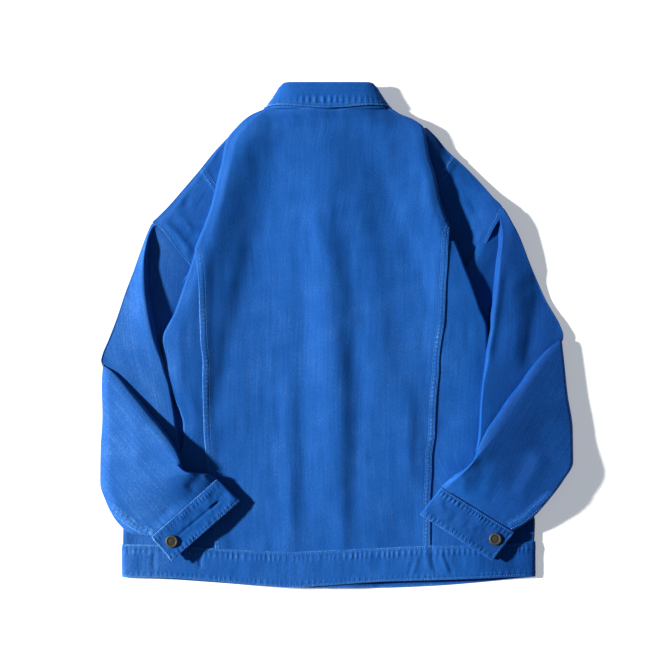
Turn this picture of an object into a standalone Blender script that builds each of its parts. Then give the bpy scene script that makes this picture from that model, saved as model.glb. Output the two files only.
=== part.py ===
"""Denim jacket laid flat on a surface with its back up, at its real size.

The frame has +X to the wearer's right, +Y towards the collar and +Z up from the surface.
Its origin is below the middle of the jacket's box. Sizes are in millimetres and become
metres in place(). Every cloth piece is a thin wall around a middle surface.
"""
import math

import bpy
import numpy as np

MM = 0.001

# Driving sizes
CLOTH = 1.3             # one layer of heavy denim
BAND = 2.4              # the hem band: two layers and what is turned in
FOLDED = 2.0            # cuffs and collar: two layers, pressed flat
SEAM_GAP = 0.3          # between two pieces at a seam
LAP_GAP = 0.5           # between a lapped edge and the panel under it
LAP = 11.0              # how far the centre back laps over a side back
CURL = 14.0             # width of the rolled edge of the back
ROW_STEP = 36.0         # most that two rows of a back panel's points lie apart
CENTRE_X = -10.0        # the jacket's own middle line
FRONT_OVERLAP = 17.0    # each front passes the middle line by this
BUTTON_RADIUS = 8.5
BUTTON_HEIGHT = 2.5
BUTTON_LIFT = BUTTON_HEIGHT + SEAM_GAP    # the fronts rise this far over the buttons

DENIM_BLUE = (0.010, 0.075, 0.300)
DARK_METAL = (0.060, 0.055, 0.050)

# Centre back. Left and right edge (x, z), the height CURL in from each edge, and the middle's.
CENTRE_COLUMNS = ("y", "left_x", "left_z", "left_in", "mid_z", "right_in", "right_z", "right_x")
CENTRE_ROWS = (
    (-296, -165, 8.5, 8.5, 10.1, 8.5, 8.5, 128),
    (-240, -172, 8.5, 8.5, 10.4, 8.5, 8.5, 128),
    (-178, -178, 8.8, 9.0, 11.2, 9.0, 8.8, 130),
    (-110, -182, 11.2, 11.5, 12.6, 11.5, 11.2, 135),
    (-45, -184, 13.3, 13.7, 13.3, 13.7, 13.3, 138),
    (25, -187, 14.8, 15.5, 14.8, 15.5, 14.8, 146),
    (75, -189, 16.2, 17.3, 15.5, 17.3, 16.2, 150),
    (104, -192, 15.5, 18.4, 16.2, 18.4, 16.9, 152),
    (124, -191, 11.9, 19.1, 16.9, 19.1, 15.5, 153),
    (145, -184, 9.7, 19.8, 17.6, 19.8, 11.9, 153),
    (165, -177, 9.4, 20.5, 18.4, 21.2, 9.7, 146),
    (200, -167, 9.0, 21.2, 19.1, 22.0, 9.4, 137),
    (235, -158, 8.5, 21.2, 20.5, 22.0, 9.0, 129),
    (262, -152, 7.0, 19.1, 21.2, 20.5, 8.5, 123),
    (280, -140, 4.5, 16.2, 22.0, 17.6, 6.5, 121),
    (294, -126, 3.8, 14.8, 22.3, 16.2, 3.8, 106),
    (303, -112, 3.4, 14.0, 22.7, 16.2, 3.4, 85),
    (308.5, -100, 4.0, 14.8, 22.7, 15.5, 4.0, 76),
)

# Side backs. Ridge: the rolled crest beside the sleeve. Foot: where the roll comes down.
SIDE_COLUMNS = ("y", "ridge_x", "ridge_z", "foot_x", "foot_z", "out_x", "out_z")
LEFT_SIDE_ROWS = (
    (-296, -250, 8.0, -283, 6.0, -292, 2.9),
    (-240, -232, 7.5, -272, 5.0, -290, 2.9),
    (-178, -214, 8.0, -250, 4.0, -284, 2.9),
    (-140, -201, 10.1, -214, 3.6, -279, 2.9),
    (-105, -205, 11.5, -218, 3.4, -276, 2.9),
    (-60, -219, 13.3, -233, 3.4, -270, 2.9),
    (-10, -227, 15.1, -238, 3.6, -241, 2.9),
    (32, -212, 15.8, -222, 3.8, -225, 2.9),
    (72, -199, 15.8, -206, 5.0, -209, 3.6),
    (96, -196, 14.0, -200, 6.5, -203.6, 6.0),
    (111, -196, 11.2, -204, 6.5, -217, 6.2),
    (130, -192, 9.0, -204, 6.5, -234, 6.2),
    (148, -190, 7.6, -206, 6.5, -251, 5.0),
    (154, -188, 7.4, -206, 6.5, -254, 2.9),
    (175, -182, 7.2, -204, 6.5, -232, 2.9),
    (199, -176, 7.0, -192, 6.5, -211, 2.9),
    (226, -168, 6.6, -176, 6.0, -188, 2.9),
    (251, -157, 5.2, -161, 4.6, -168, 2.9),
    (264, -152, 4.6, -153, 4.2, -156, 2.9),
)
RIGHT_SIDE_ROWS = (
    (-296, 235, 8.0, 262, 6.0, 270, 2.9),
    (-240, 215, 7.5, 252, 5.0, 272, 2.9),
    (-178, 192, 8.0, 232, 4.0, 268, 2.9),
    (-134, 186, 10.1, 199, 3.6, 264, 2.9),
    (-91, 187, 11.9, 201, 3.4, 260, 2.9),
    (-43, 193, 13.7, 207, 3.4, 254, 2.9),
    (9, 198, 15.1, 208, 3.6, 211, 2.9),
    (36, 190, 15.8, 199, 3.8, 202, 2.9),
    (65, 178, 16.2, 187, 5.0, 190, 3.6),
    (78, 174, 16.2, 183, 6.0, 186, 5.6),
    (100, 166, 15.1, 178, 6.5, 196.5, 6.2),
    (122, 160, 13.3, 171, 6.5, 207, 6.2),
    (145, 157, 10.4, 165, 6.5, 218, 6.0),
    (170, 150, 7.8, 166, 6.5, 229, 2.9),
    (194, 142, 7.4, 162, 6.5, 210, 2.9),
    (229, 132, 7.0, 150, 6.0, 177, 2.9),
    (254, 126, 6.6, 136, 5.4, 150, 2.9),
    (276, 121, 4.8, 125, 4.2, 132, 2.9),
)

# Soft vertical folds of the back: a trough from one end to the other, and its shape.
FOLD_RUN_OUT = 0.15     # a fold fades out over this share of its length past each end
FOLD_COLUMNS = ("x0", "y0", "x1", "y1", "half_width", "depth")
BACK_FOLDS = (
    (-112, 270, -150, 40, 22, 3.5),
    (8, 70, 16, -280, 13, 3.5),
    (-58, -90, -56, -290, 11, 2.6),
    (48, 10, 100, -90, 14, 2.2),
    (84, -110, 78, -270, 14, 1.5),
    (30, 240, 52, 130, 24, 2.4),
)

# Sleeve rings, from armhole to cuff. o is the ring's outer end and i its inner end. crest is
# the height of the rolled part, edge the share of the ring that it takes, floor the rest's.
SLEEVE_COLUMNS = ("ox", "oy", "ix", "iy", "base_o", "base_i", "crest", "edge", "floor")
LEFT_SLEEVE_ROWS = (
    (-255.0, 149.5, -205.0, 93.5, 0.2, 3.4, 7.0, 0.14, 3.4),
    (-262, 133, -210.5, 77, 0.2, 3.4, 13.0, 0.20, 3.4),
    (-279, 85, -226, 34, 0.2, 3.4, 20.0, 0.38, 4.0),
    (-296, 40, -243, -8, 0.2, 3.4, 24.0, 0.72, 4.4),
    (-313, -5, -241, -38, 0.2, 3.6, 25.0, 0.88, 5.0),
    (-325, -33, -236, -68, 0.2, 3.6, 26.0, 0.94, 5.0),
    (-325.4, -36, -226, -105, 0.2, 3.6, 25.0, 0.94, 5.0),
    (-325.2, -39, -219, -146, 0.2, 5.0, 23.0, 0.94, 5.0),
    (-324.6, -46, -214, -180, 3.0, 12.0, 26.0, 0.94, 5.0),
    (-322, -90, -210, -185, 3.0, 12.0, 26.0, 0.94, 5.0),
    (-323, -140, -204, -188, 3.0, 12.5, 25.0, 0.94, 5.0),
    (-325.4, -185, -197, -189, 2.5, 13.0, 22.0, 0.94, 5.0),
    (-322, -220, -188, -189, 3.0, 13.5, 18.0, 0.94, 5.0),
    (-300, -257, -176, -191, 7.0, 14.0, 13.0, 0.94, 5.0),
)
RIGHT_SLEEVE_ROWS = (
    (231.2, 168.5, 188.6, 73.5, 0.2, 3.4, 7.0, 0.14, 3.4),
    (249, 138, 195.5, 60, 0.2, 3.4, 15.0, 0.34, 3.8),
    (266, 95, 205, 34, 0.2, 3.4, 22.0, 0.70, 4.4),
    (287, 48, 214, 4, 0.2, 3.6, 25.0, 0.90, 5.0),
    (306, 13, 210, -28, 0.2, 3.6, 26.0, 0.94, 5.0),
    (310.8, -2, 204, -72, 0.2, 3.6, 26.0, 0.94, 5.0),
    (311.4, -6, 201, -112, 0.2, 3.6, 24.0, 0.94, 5.0),
    (311.8, -10, 197, -138, 0.2, 5.0, 22.0, 0.94, 5.0),
    (312, -18, 191, -163, 3.0, 12.0, 27.0, 0.94, 5.0),
    (314, -60, 183, -177, 3.0, 12.0, 27.0, 0.94, 5.0),
    (320, -105, 175, -183, 3.0, 12.5, 26.0, 0.94, 5.0),
    (325.4, -150, 167, -188, 2.5, 13.0, 24.0, 0.94, 5.0),
    (319, -190, 160, -193, 3.0, 13.5, 20.0, 0.94, 5.0),
    (290, -227, 152, -199, 7.0, 14.0, 15.0, 0.94, 5.0),
)

SLEEVE_END_SHAPE = (14.5, 14.5, 9.6, 0.90, 7.0)    # base_o to floor, where the cuff begins
BASE_RAMP = 0.4         # share of a ring over which its base goes from base_o to base_i
OUTER_LIFT = 0.12       # a ring's outer end is this share of its crest above its base
INNER_LIFT = 0.45       # and its inner end this share of its floor
UNDER_INSET = 0.015     # the underside stops this share of the ring short of both ends

# Cuffs: corners at the sleeve seam (outer, inner) and at the free edge (outer, inner).
CUFF_COLUMNS = ("seam_outer", "seam_inner", "free_outer", "free_inner", "button")
LEFT_CUFF = ((-253, -277), (-162, -197), (-226, -309), (-131, -226), (-226, -283))
RIGHT_CUFF = ((242, -271), (141, -209), (213, -309), (113, -245), (217, -280))
CUFF_BASE = 14.5
CUFF_TOP = 8.6          # a cuff's upper layer above its base, in the middle of its section
# A cuff's strip in section, from its tab end on top, round below, to its end under the tab.
# along is the share of the width, with end millimetres added, and up is above the cuff's base.
CUFF_PATH_COLUMNS = ("along", "end", "up")
CUFF_PATH = (
    (0.0, 0.0, 8.4), (0.1, 0.0, 8.6), (0.3, 0.0, 8.6), (0.5, 0.0, 8.8), (0.7, 0.0, 8.8),
    (0.9, 0.0, 8.4), (1.0, -3.2, 7.6), (1.0, -1.4, 5.0), (1.0, -3.2, 2.2), (0.9, 0.0, 1.3),
    (0.7, 0.0, 1.3), (0.5, 0.0, 1.3), (0.3, 0.0, 1.3), (0.1, 0.0, 1.3), (0.0, 4.6, 1.5),
    (0.0, 2.6, 3.2), (0.0, 5.0, 4.7), (0.0, 12.0, 5.0), (0.0, 26.0, 5.0),
)

# Hem band: its seam to the panels and its free edge, at the back and at the front.
HEM_COLUMNS = ("x", "seam_y", "back_edge_y", "front_edge_y", "back_z")
HEM_ROWS = (
    (-294, -289, -332, -333, 7.0),
    (-240, -290, -333, -335, 8.6),
    (-165, -295, -338, -340, 8.8),
    (-100, -298, -344, -345, 9.6),
    (-60, -299, -346, -347, 10.4),
    (-10, -297, -343, -348.5, 10.8),
    (59, -294, -338, -348.5, 10.4),
    (125, -291, -336, -347, 9.4),
    (190, -290, -334, -342, 9.0),
    (240, -287, -332, -335, 8.4),
    (272, -285, -331, -332, 7.0),
)

# Collar, from its middle back to a front end: where it meets the neck, the way that it stands
# up from there (lean), the side that its fall lies on (face), the fall's length and its roll.
COLLAR_COLUMNS = ("x", "y", "z", "lean_x", "lean_y", "face_x", "face_z", "fall", "roll")
COLLAR_ROWS = (
    (0, 309.6, 22.8, 0.00, 1.00, 0.0, 1.0, 33, 6.5),
    (24, 309.6, 22.6, 0.00, 1.00, 0.0, 1.0, 33, 6.5),
    (48, 309.7, 21.7, 0.00, 1.00, 0.0, 1.0, 32, 6.2),
    (66, 309.8, 19.7, -0.20, 1.00, 0.3, 1.0, 31, 6.0),
    (78, 310.0, 16.2, -0.50, 0.95, 0.8, 0.6, 30, 5.5),
    (82, 309.9, 12.6, -0.64, 0.85, 1.0, 0.0, 30, 5.0),
    (79, 303.0, 9.0, -0.72, 0.75, 0.8, -0.6, 30, 4.0),
    (72, 291.0, 5.4, -0.80, 0.62, 0.2, -1.0, 30, 3.0),
    (61, 271.0, 4.0, -0.84, 0.56, 0.0, -1.0, 30, 2.6),
    (44, 251.0, 4.0, -0.70, 0.71, 0.0, -1.0, 30, 2.6),
    (27, 237.0, 4.2, -0.45, 0.89, 0.0, -1.0, 30, 2.8),
    (10, 229.0, 4.6, -0.20, 0.98, 0.0, -1.0, 30, 3.0),
)
COLLAR_STAND = 37.0

# Fronts: the inner edge of a front, measured from the middle line, down from the shoulder.
NECK_COLUMNS = ("y", "inner")
FRONT_NECK = (
    (-296, FRONT_OVERLAP), (223, FRONT_OVERLAP), (226, -6), (234, -25), (246, -44),
    (264, -60), (284, -71), (296, -77),
)
PANEL_END_Y = -296.0    # the panels' lower end in the tables, before they meet the hem band
HEM_FADE_Y = -240.0
BUTTON_YS = (-318, -218, -118, -18, 82, 182)
LIFT_HALF_WIDTH = 34.0  # the fronts rise over the buttons this far from the middle line
LIFT_SLOPE = 22.0       # and come down again over this
LAP_END = FRONT_OVERLAP + 3.0    # the upper front lies on the other one as far as this
LAP_SLOPE = 14.0        # and comes down over this
FRONT_ROW_STEP = 46.0
FRONT_SHARES = (0.0, 0.12, 0.3, 0.5, 0.7, 0.85)    # a front's points, from its side edge in
ARMHOLE_YS = (96.0, 150.0, 172.0)    # rows that follow the armhole's corners


def column(rows, columns, name):
    return np.array([row[columns.index(name)] for row in rows], dtype=float)


def smooth(xs, ys, x):
    """Value at x of a curve through (xs, ys) that never overshoots them (monotone cubic)."""
    xs, ys = np.asarray(xs, float), np.asarray(ys, float)
    steps, slopes = np.diff(xs), np.diff(ys) / np.diff(xs)
    tangents = np.zeros(len(xs))
    for k in range(1, len(xs) - 1):
        if slopes[k - 1] * slopes[k] > 0:
            before, after = steps[k - 1], steps[k]
            w0, w1 = 2 * after + before, after + 2 * before
            tangents[k] = (w0 + w1) / (w0 / slopes[k - 1] + w1 / slopes[k])
    tangents[0], tangents[-1] = slopes[0], slopes[-1]
    x = np.clip(x, xs[0], xs[-1])
    k = int(np.clip(np.searchsorted(xs, x) - 1, 0, len(xs) - 2))
    t = (x - xs[k]) / steps[k]
    return ((1 + 2 * t) * (1 - t) ** 2 * ys[k] + t * (1 - t) ** 2 * steps[k] * tangents[k]
            + t * t * (3 - 2 * t) * ys[k + 1] + t * t * (t - 1) * steps[k] * tangents[k + 1])


def at(rows, columns, y):
    """The row of a table at height y on the jacket, as a dict of its columns."""
    ys = column(rows, columns, columns[0])
    return {name: smooth(ys, column(rows, columns, name), y) for name in columns}


def material(name, colour, roughness, metallic=0.0):
    made = bpy.data.materials.new(name)
    made.use_nodes = True
    shader = made.node_tree.nodes["Principled BSDF"]
    shader.inputs["Base Color"].default_value = (*colour, 1.0)
    shader.inputs["Roughness"].default_value = roughness
    shader.inputs["Metallic"].default_value = metallic
    return made


def place(name, points, faces, finish):
    """One named object from points in millimetres."""
    mesh = bpy.data.meshes.new(name)
    mesh.from_pydata([tuple(MM * c for c in point) for point in points], [], faces)
    mesh.update()
    mesh.materials.append(finish)
    mesh.shade_smooth()
    mesh.set_sharp_from_angle(angle=math.radians(40))
    made = bpy.data.objects.new(name, mesh)
    bpy.context.scene.collection.objects.link(made)
    return made


def denim(name):
    return material(name + "_denim", DENIM_BLUE, 0.85)


def grid_normals(grid):
    """Unit normals of a grid of points, from its rows and columns."""
    across = np.gradient(grid, axis=1)
    along = np.gradient(grid, axis=0)
    normals = np.cross(across, along)
    return normals / np.linalg.norm(normals, axis=2, keepdims=True)


def sheet(name, grid, wall):
    """A cloth wall around a grid of points, whose columns run to +X where its rows run to +Y."""
    offset = grid_normals(grid) * wall / 2
    rows, cols = grid.shape[:2]
    points = np.concatenate([(grid + offset).reshape(-1, 3), (grid - offset).reshape(-1, 3)])
    under = rows * cols
    faces = []
    for r in range(rows - 1):
        for c in range(cols - 1):
            a, b = r * cols + c, r * cols + c + 1
            d, e = a + cols, b + cols
            faces.append((a, b, e, d))
            faces.append((under + a, under + d, under + e, under + b))
    rim = [(0, c) for c in range(cols)] + [(r, cols - 1) for r in range(1, rows)]
    rim += [(rows - 1, c) for c in range(cols - 2, -1, -1)]
    rim += [(r, 0) for r in range(rows - 2, 0, -1)]
    ids = [r * cols + c for r, c in rim]
    for a, b in zip(ids, ids[1:] + ids[:1]):
        faces.append((under + a, under + b, b, a))
    return place(name, points, faces, denim(name))


def tube(name, rings, wall):
    """A cloth wall inside closed rings, each one flat and upright, open at both ends."""
    inner = []
    for ring in rings:
        width = ring[:, :2] - ring[0, :2]
        far = width[np.argmax(np.linalg.norm(width, axis=1))]
        out_axis = np.array([*(far / np.linalg.norm(far)), 0.0])
        tangent = np.roll(ring, -1, axis=0) - np.roll(ring, 1, axis=0)
        side, up = tangent @ out_axis, tangent[:, 2]
        length = np.hypot(side, up)
        inward = np.outer(up / length, out_axis) + np.outer(-side / length, (0, 0, 1.0))
        inner.append(ring + wall * inward)
    count = len(rings[0])
    points = np.concatenate([np.concatenate(rings), np.concatenate(inner)])
    under = len(rings) * count
    faces = []
    for r in range(len(rings) - 1):
        for c in range(count):
            a, b = r * count + c, r * count + (c + 1) % count
            d, e = a + count, b + count
            faces.append((a, b, e, d))
            faces.append((under + a, under + d, under + e, under + b))
    last = (len(rings) - 1) * count
    for c in range(count):
        a, b = c, (c + 1) % count
        faces.append((under + a, under + b, b, a))
        faces.append((last + a, last + b, under + last + b, under + last + a))
    return place(name, points, faces, denim(name))


def turn_faces_out(made):
    """Flip a closed mesh whose signed volume is negative."""
    mesh = made.data
    volume = 0.0
    for face in mesh.polygons:
        corners = [mesh.vertices[v].co for v in face.vertices]
        for k in range(1, len(corners) - 1):
            volume += corners[0].dot(corners[k].cross(corners[k + 1]))
    if volume < 0:
        mesh.flip_normals()


def fold_drop(x, y):
    """How far the soft folds lower the back at a place."""
    drop = 0.0
    for row in BACK_FOLDS:
        fold = dict(zip(FOLD_COLUMNS, row))
        t = (y - fold["y0"]) / (fold["y1"] - fold["y0"])
        if -FOLD_RUN_OUT < t < 1 + FOLD_RUN_OUT:
            ends = math.sin(math.pi * (t + FOLD_RUN_OUT) / (1 + 2 * FOLD_RUN_OUT))
            off = (x - fold["x0"] - (fold["x1"] - fold["x0"]) * t) / fold["half_width"]
            drop += fold["depth"] * ends * math.exp(-off * off)
    return drop


def meet_hem(x, y):
    """Y of a panel's point, moved near the hem so that the panel ends along the band's seam."""
    seam = smooth(column(HEM_ROWS, HEM_COLUMNS, "x"), column(HEM_ROWS, HEM_COLUMNS, "seam_y"), x)
    share = min(1.0, max(0.0, (HEM_FADE_Y - y) / (HEM_FADE_Y - PANEL_END_Y)))
    return y + share * (seam + 2 * SEAM_GAP - PANEL_END_Y)


def row_heights(rows, columns, step):
    """The table's own heights, with more between them so that no gap is over step."""
    ys = column(rows, columns, columns[0])
    fine = []
    for low, high in zip(ys[:-1], ys[1:]):
        parts = max(1, math.ceil((high - low) / step))
        fine += [low + (high - low) * k / parts for k in range(parts)]
    return fine + [ys[-1]]


def centre_back():
    """The back's middle panel. Its side edges lap over the side backs, or roll down."""
    grid = []
    inner_count = 10
    for y in row_heights(CENTRE_ROWS, CENTRE_COLUMNS, ROW_STEP):
        row = at(CENTRE_ROWS, CENTRE_COLUMNS, y)
        start, end = row["left_x"] + CURL, row["right_x"] - CURL
        middle = (start + end) / 2
        points = []
        for share in (0.0, 0.06, 0.22, 0.5, LAP / CURL):
            rise = math.sqrt(1 - (1 - share) ** 2)
            points.append((row["left_x"] + share * CURL,
                           row["left_z"] + (row["left_in"] - row["left_z"]) * rise))
        for k in range(inner_count + 1):
            x = start + (end - start) * k / inner_count
            z = smooth((start, middle, end), (row["left_in"], row["mid_z"], row["right_in"]), x)
            fade = min(1.0, min(k, inner_count - k) / 1.5)
            points.append((x, z - fade * fold_drop(x, y)))
        for share in (LAP / CURL, 0.5, 0.22, 0.06, 0.0):
            rise = math.sqrt(1 - (1 - share) ** 2)
            points.append((row["right_x"] - share * CURL,
                           row["right_z"] + (row["right_in"] - row["right_z"]) * rise))
        grid.append([(x, meet_hem(x, y), z - CLOTH / 2) for x, z in points])
    sheet("back_center", np.array(grid), CLOTH)


def side_back(name, rows, side):
    """A side back, from under the centre panel's lap, over its ridge, out to the side seam."""
    grid = []
    edge_x = "left_x" if side < 0 else "right_x"
    edge_z = "left_z" if side < 0 else "right_z"
    for y in row_heights(rows, SIDE_COLUMNS, ROW_STEP):
        row = at(rows, SIDE_COLUMNS, y)
        centre = at(CENTRE_ROWS, CENTRE_COLUMNS, y)
        lap_z = centre[edge_z] - CLOTH - LAP_GAP
        knots = [(centre[edge_x] - side * LAP, lap_z), (centre[edge_x], lap_z)]
        knots += [(row[key + "_x"], row[key + "_z"]) for key in ("ridge", "foot", "out")]
        xs = [knot[0] for knot in knots]
        for k in range(1, len(xs)):
            xs[k] = side * max(side * xs[k], side * xs[k - 1] + 1.0)
        zs = [knot[1] for knot in knots]
        shares = ((0, 0.5), (0, 0.33, 0.66), (0, 0.3, 0.65), (0, 0.33, 0.66))
        points = []
        for k, parts in enumerate(shares):
            for share in parts:
                x = xs[k] + (xs[k + 1] - xs[k]) * share
                z = smooth([side * v for v in xs], zs, side * x)
                points.append((x, z))
        points.append((xs[-1], zs[-1]))
        points = points[::side]
        grid.append([(x, meet_hem(x, y), z - CLOTH / 2) for x, z in points])
    sheet(name, np.array(grid), CLOTH)


def front_lift(x):
    """Height of a front's underside, which rises over the buttons at the middle."""
    down = min(1.0, max(0.0, (abs(x - CENTRE_X) - LIFT_HALF_WIDTH) / LIFT_SLOPE))
    return BUTTON_LIFT * (1 - down * down * (3 - 2 * down))


def outer_edge(y, side):
    """X of the jacket's side seam or shoulder edge at a height."""
    rows, centre_x = (LEFT_SIDE_ROWS, "left_x") if side < 0 else (RIGHT_SIDE_ROWS, "right_x")
    if y <= rows[-1][0] - 2:
        return at(rows, SIDE_COLUMNS, y)["out_x"]
    return at(CENTRE_ROWS, CENTRE_COLUMNS, y)[centre_x]


def front(name, side, rise):
    """A front panel, flat on the surface. rise lifts its overlap over the other front."""
    grid = []
    ys = sorted(set(row_heights(FRONT_NECK, NECK_COLUMNS, FRONT_ROW_STEP)) | set(ARMHOLE_YS))
    for y in ys:
        inner = CENTRE_X - side * at(FRONT_NECK, NECK_COLUMNS, y)["inner"]
        outer = outer_edge(y, side)
        ramp_foot = CENTRE_X + side * (LIFT_HALF_WIDTH + LIFT_SLOPE)
        ramp_head = CENTRE_X + side * LIFT_HALF_WIDTH
        if side * inner < side * CENTRE_X:
            lap_end = CENTRE_X + side * LAP_END
        else:
            lap_end = inner + (outer - inner) * 0.1
            ramp_head = inner + (outer - inner) * 0.2
            ramp_foot = inner + (outer - inner) * 0.35
        xs = [outer + (ramp_foot - outer) * share for share in FRONT_SHARES]
        xs += [ramp_foot, (ramp_foot + ramp_head) / 2, ramp_head, lap_end, CENTRE_X, inner]
        if side * inner >= side * CENTRE_X:
            xs[-2] = (inner + lap_end) / 2
        points = []
        for x in xs:
            over = np.clip(1 - (side * (x - CENTRE_X) - LAP_END) / LAP_SLOPE, 0, 1)
            points.append((x, meet_hem(x, y), front_lift(x) + rise * over + CLOTH / 2))
        grid.append(points[::-side])
    sheet(name, np.array(grid), CLOTH)


def stadium_dome(share, power=2.4):
    """Height from 0 to 1 of a rounded, flat-topped roll at a share of its width."""
    return max(0.0, 1 - abs(2 * share - 1) ** power) ** (1 / power)


def sleeve_ring(row):
    """One ring of a sleeve: over the rolled part, over the flat rest, and back below."""
    r = dict(zip(SLEEVE_COLUMNS, row))
    outer, inner = np.array([r["ox"], r["oy"]]), np.array([r["ix"], r["iy"]])
    points = []
    dome_steps, rest_steps, under_steps = 10, 4, 8
    for k in range(dome_steps):
        turn = 0.5 - 0.5 * math.cos(math.pi * k / dome_steps)
        share = r["edge"] * turn
        height = r["crest"] * stadium_dome(turn)
        if turn > 0.5:
            height = max(height, r["floor"])
        points.append((share, height))
    for k in range(rest_steps):
        turn = k / rest_steps
        share = r["edge"] + (1 - r["edge"]) * turn
        points.append((share, r["floor"] * (1 - turn ** 4)))
    points[0] = (0.0, OUTER_LIFT * r["crest"])
    points.append((1.0, INNER_LIFT * r["floor"]))
    for k in range(under_steps):
        points.append((1 - UNDER_INSET - (1 - 2 * UNDER_INSET) * k / (under_steps - 1), 0.0))
    ring = []
    for share, height in points:
        plan = outer + (inner - outer) * share
        base = r["base_o"] + (r["base_i"] - r["base_o"]) * min(1.0, share / BASE_RAMP)
        ring.append((*plan, base + height))
    return np.array(ring)


def sleeve(name, rows, cuff_corners):
    """A sleeve through its rings, the last of them just before the cuff's seam."""
    c = {key: np.array(value, float) for key, value in zip(CUFF_COLUMNS, cuff_corners)}
    ends = []
    for key in ("outer", "inner"):
        down = c["free_" + key] - c["seam_" + key]
        ends += list(c["seam_" + key] - down / np.linalg.norm(down) * SEAM_GAP)
    rings = [sleeve_ring(row) for row in (*rows, (*ends, *SLEEVE_END_SHAPE))]
    turn_faces_out(tube(name, rings, CLOTH))


def cuff(name, corners):
    """A buttoned cuff: one strip round, whose ends overlap below its button."""
    c = {key: np.array(value, float) for key, value in zip(CUFF_COLUMNS, corners)}
    grid = []
    for depth in (0.0, 0.1, 0.5, 0.9, 1.0):
        outer = c["seam_outer"] + (c["free_outer"] - c["seam_outer"]) * depth
        inner = c["seam_inner"] + (c["free_inner"] - c["seam_inner"]) * depth
        width = np.linalg.norm(inner - outer)
        across = (inner - outer) / width
        points = []
        for row in CUFF_PATH:
            at_path = dict(zip(CUFF_PATH_COLUMNS, row))
            plan = outer + across * (at_path["along"] * width + at_path["end"])
            points.append((*plan, CUFF_BASE + at_path["up"]))
        grid.append(points)
    made = sheet(name, np.array(grid), FOLDED)
    turn_faces_out(made)


def button(name, x, y, z, face):
    """A metal cap with a raised rim. z is its back, and it faces up (1) or down (-1)."""
    profile = ((0.0, 0.0), (7.8, 0.0), (BUTTON_RADIUS, 1.0), (7.6, BUTTON_HEIGHT),
               (6.2, 2.4), (5.6, 1.9), (0.0, 1.9))
    turns = 16
    points = [(x, y, z)]
    for radius, height in profile[1:-1]:
        for k in range(turns):
            angle = 2 * math.pi * k / turns
            points.append((x + radius * math.cos(angle), y + radius * math.sin(angle),
                           z + face * height))
    points.append((x, y, z + face * profile[-1][1]))
    rings = len(profile) - 2
    faces = [(0, 1 + (k + 1) % turns, 1 + k) for k in range(turns)]
    for r in range(rings - 1):
        for k in range(turns):
            a, b = 1 + r * turns + k, 1 + r * turns + (k + 1) % turns
            faces.append((a, b, b + turns, a + turns))
    top = 1 + (rings - 1) * turns
    faces += [(top + k, top + (k + 1) % turns, len(points) - 1) for k in range(turns)]
    made = place(name, points, faces, material(name + "_metal", DARK_METAL, 0.4, 1.0))
    turn_faces_out(made)


def hem_path():
    """The band's middle line in section, from the left front's end round to the right's."""
    left, right = HEM_ROWS[0][0], HEM_ROWS[-1][0]
    overlap_left, overlap_right = CENTRE_X + FRONT_OVERLAP, CENTRE_X - FRONT_OVERLAP
    low = BAND / 2
    over_buttons = BUTTON_LIFT + low
    over_left = over_buttons + BAND + SEAM_GAP
    path = [(overlap_left, over_buttons, 1), (CENTRE_X, over_buttons, 1), (-42, over_buttons, 1),
            (-70, low, 1), (-130, low, 1), (-200, low, 1), (-255, low, 1),
            (left + 10, low, 1), (left + 3, low + 1.0, 0.7), (left, 4.0, 0.5)]
    for x, back_z in zip(*(column(HEM_ROWS, HEM_COLUMNS, name) for name in ("x", "back_z"))):
        inset = {left: left + 5, right: right - 5}.get(x, x)
        path.append((inset, back_z, 0.15 if inset != x else 0))
    path += [(right, 4.0, 0.5), (right - 3, low + 1.0, 0.7), (right - 10, low, 1), (230, low, 1),
             (170, low, 1), (100, low, 1), (62, low, 1), (40, over_buttons, 1), (18, over_left, 1),
             (CENTRE_X, over_left, 1), (overlap_right, over_left, 1)]
    return path


def hem_band():
    """The band round the hem: fronts below and back above, folded at both sides."""
    xs = column(HEM_ROWS, HEM_COLUMNS, "x")
    seam, back_edge, front_edge = (column(HEM_ROWS, HEM_COLUMNS, name)
                                   for name in ("seam_y", "back_edge_y", "front_edge_y"))
    grid = []
    for depth in (0.0, 0.12, 0.5, 0.88, 1.0):
        points = []
        for x, z, front_share in hem_path():
            top = smooth(xs, seam, x)
            edge = (1 - front_share) * smooth(xs, back_edge, x)
            edge += front_share * smooth(xs, front_edge, x)
            points.append((x, top + (edge - top) * depth, z))
        grid.append(points)
    made = sheet("hem_band", np.array(grid), BAND)
    turn_faces_out(made)


def collar_section(row, side):
    """The collar across its length: up the stand, over the roll and down the fall."""
    r = dict(zip(COLLAR_COLUMNS, row))
    middle = CENTRE_X - 2
    base = np.array([middle + side * r["x"], r["y"], r["z"]])
    lean = np.array([side * r["lean_x"], r["lean_y"], 0.0])
    lean /= np.linalg.norm(lean)
    face = np.array([side * r["face_x"], 0.0, r["face_z"]])
    face /= np.linalg.norm(face)
    roll, stand, fall = r["roll"], COLLAR_STAND, r["fall"]
    profile = [(SEAM_GAP, 0.0), (0.35 * stand, 0.1), (0.7 * stand, 0.3), (0.9 * stand, 0.08 * roll)]
    for turn in (0.25, 0.5, 0.75):
        angle = math.pi * turn
        profile.append((stand * 0.94 + 0.45 * roll * math.sin(angle),
                        roll * (0.5 - 0.5 * math.cos(angle))))
    for share in (0.12, 0.4, 0.7, 1.0):
        settle = (roll - FOLDED - LAP_GAP) * 0.7 * share * (1 if r["face_z"] > 0 else 0.4)
        profile.append((stand * 0.94 - fall * share, roll - settle * share))
    return [tuple(base + lean * up + face * out) for up, out in profile]


def collar():
    sections = [collar_section(row, -1) for row in COLLAR_ROWS[:0:-1]]
    sections += [collar_section(row, 1) for row in COLLAR_ROWS]
    made = sheet("collar", np.array(sections), FOLDED)
    turn_faces_out(made)


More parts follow.
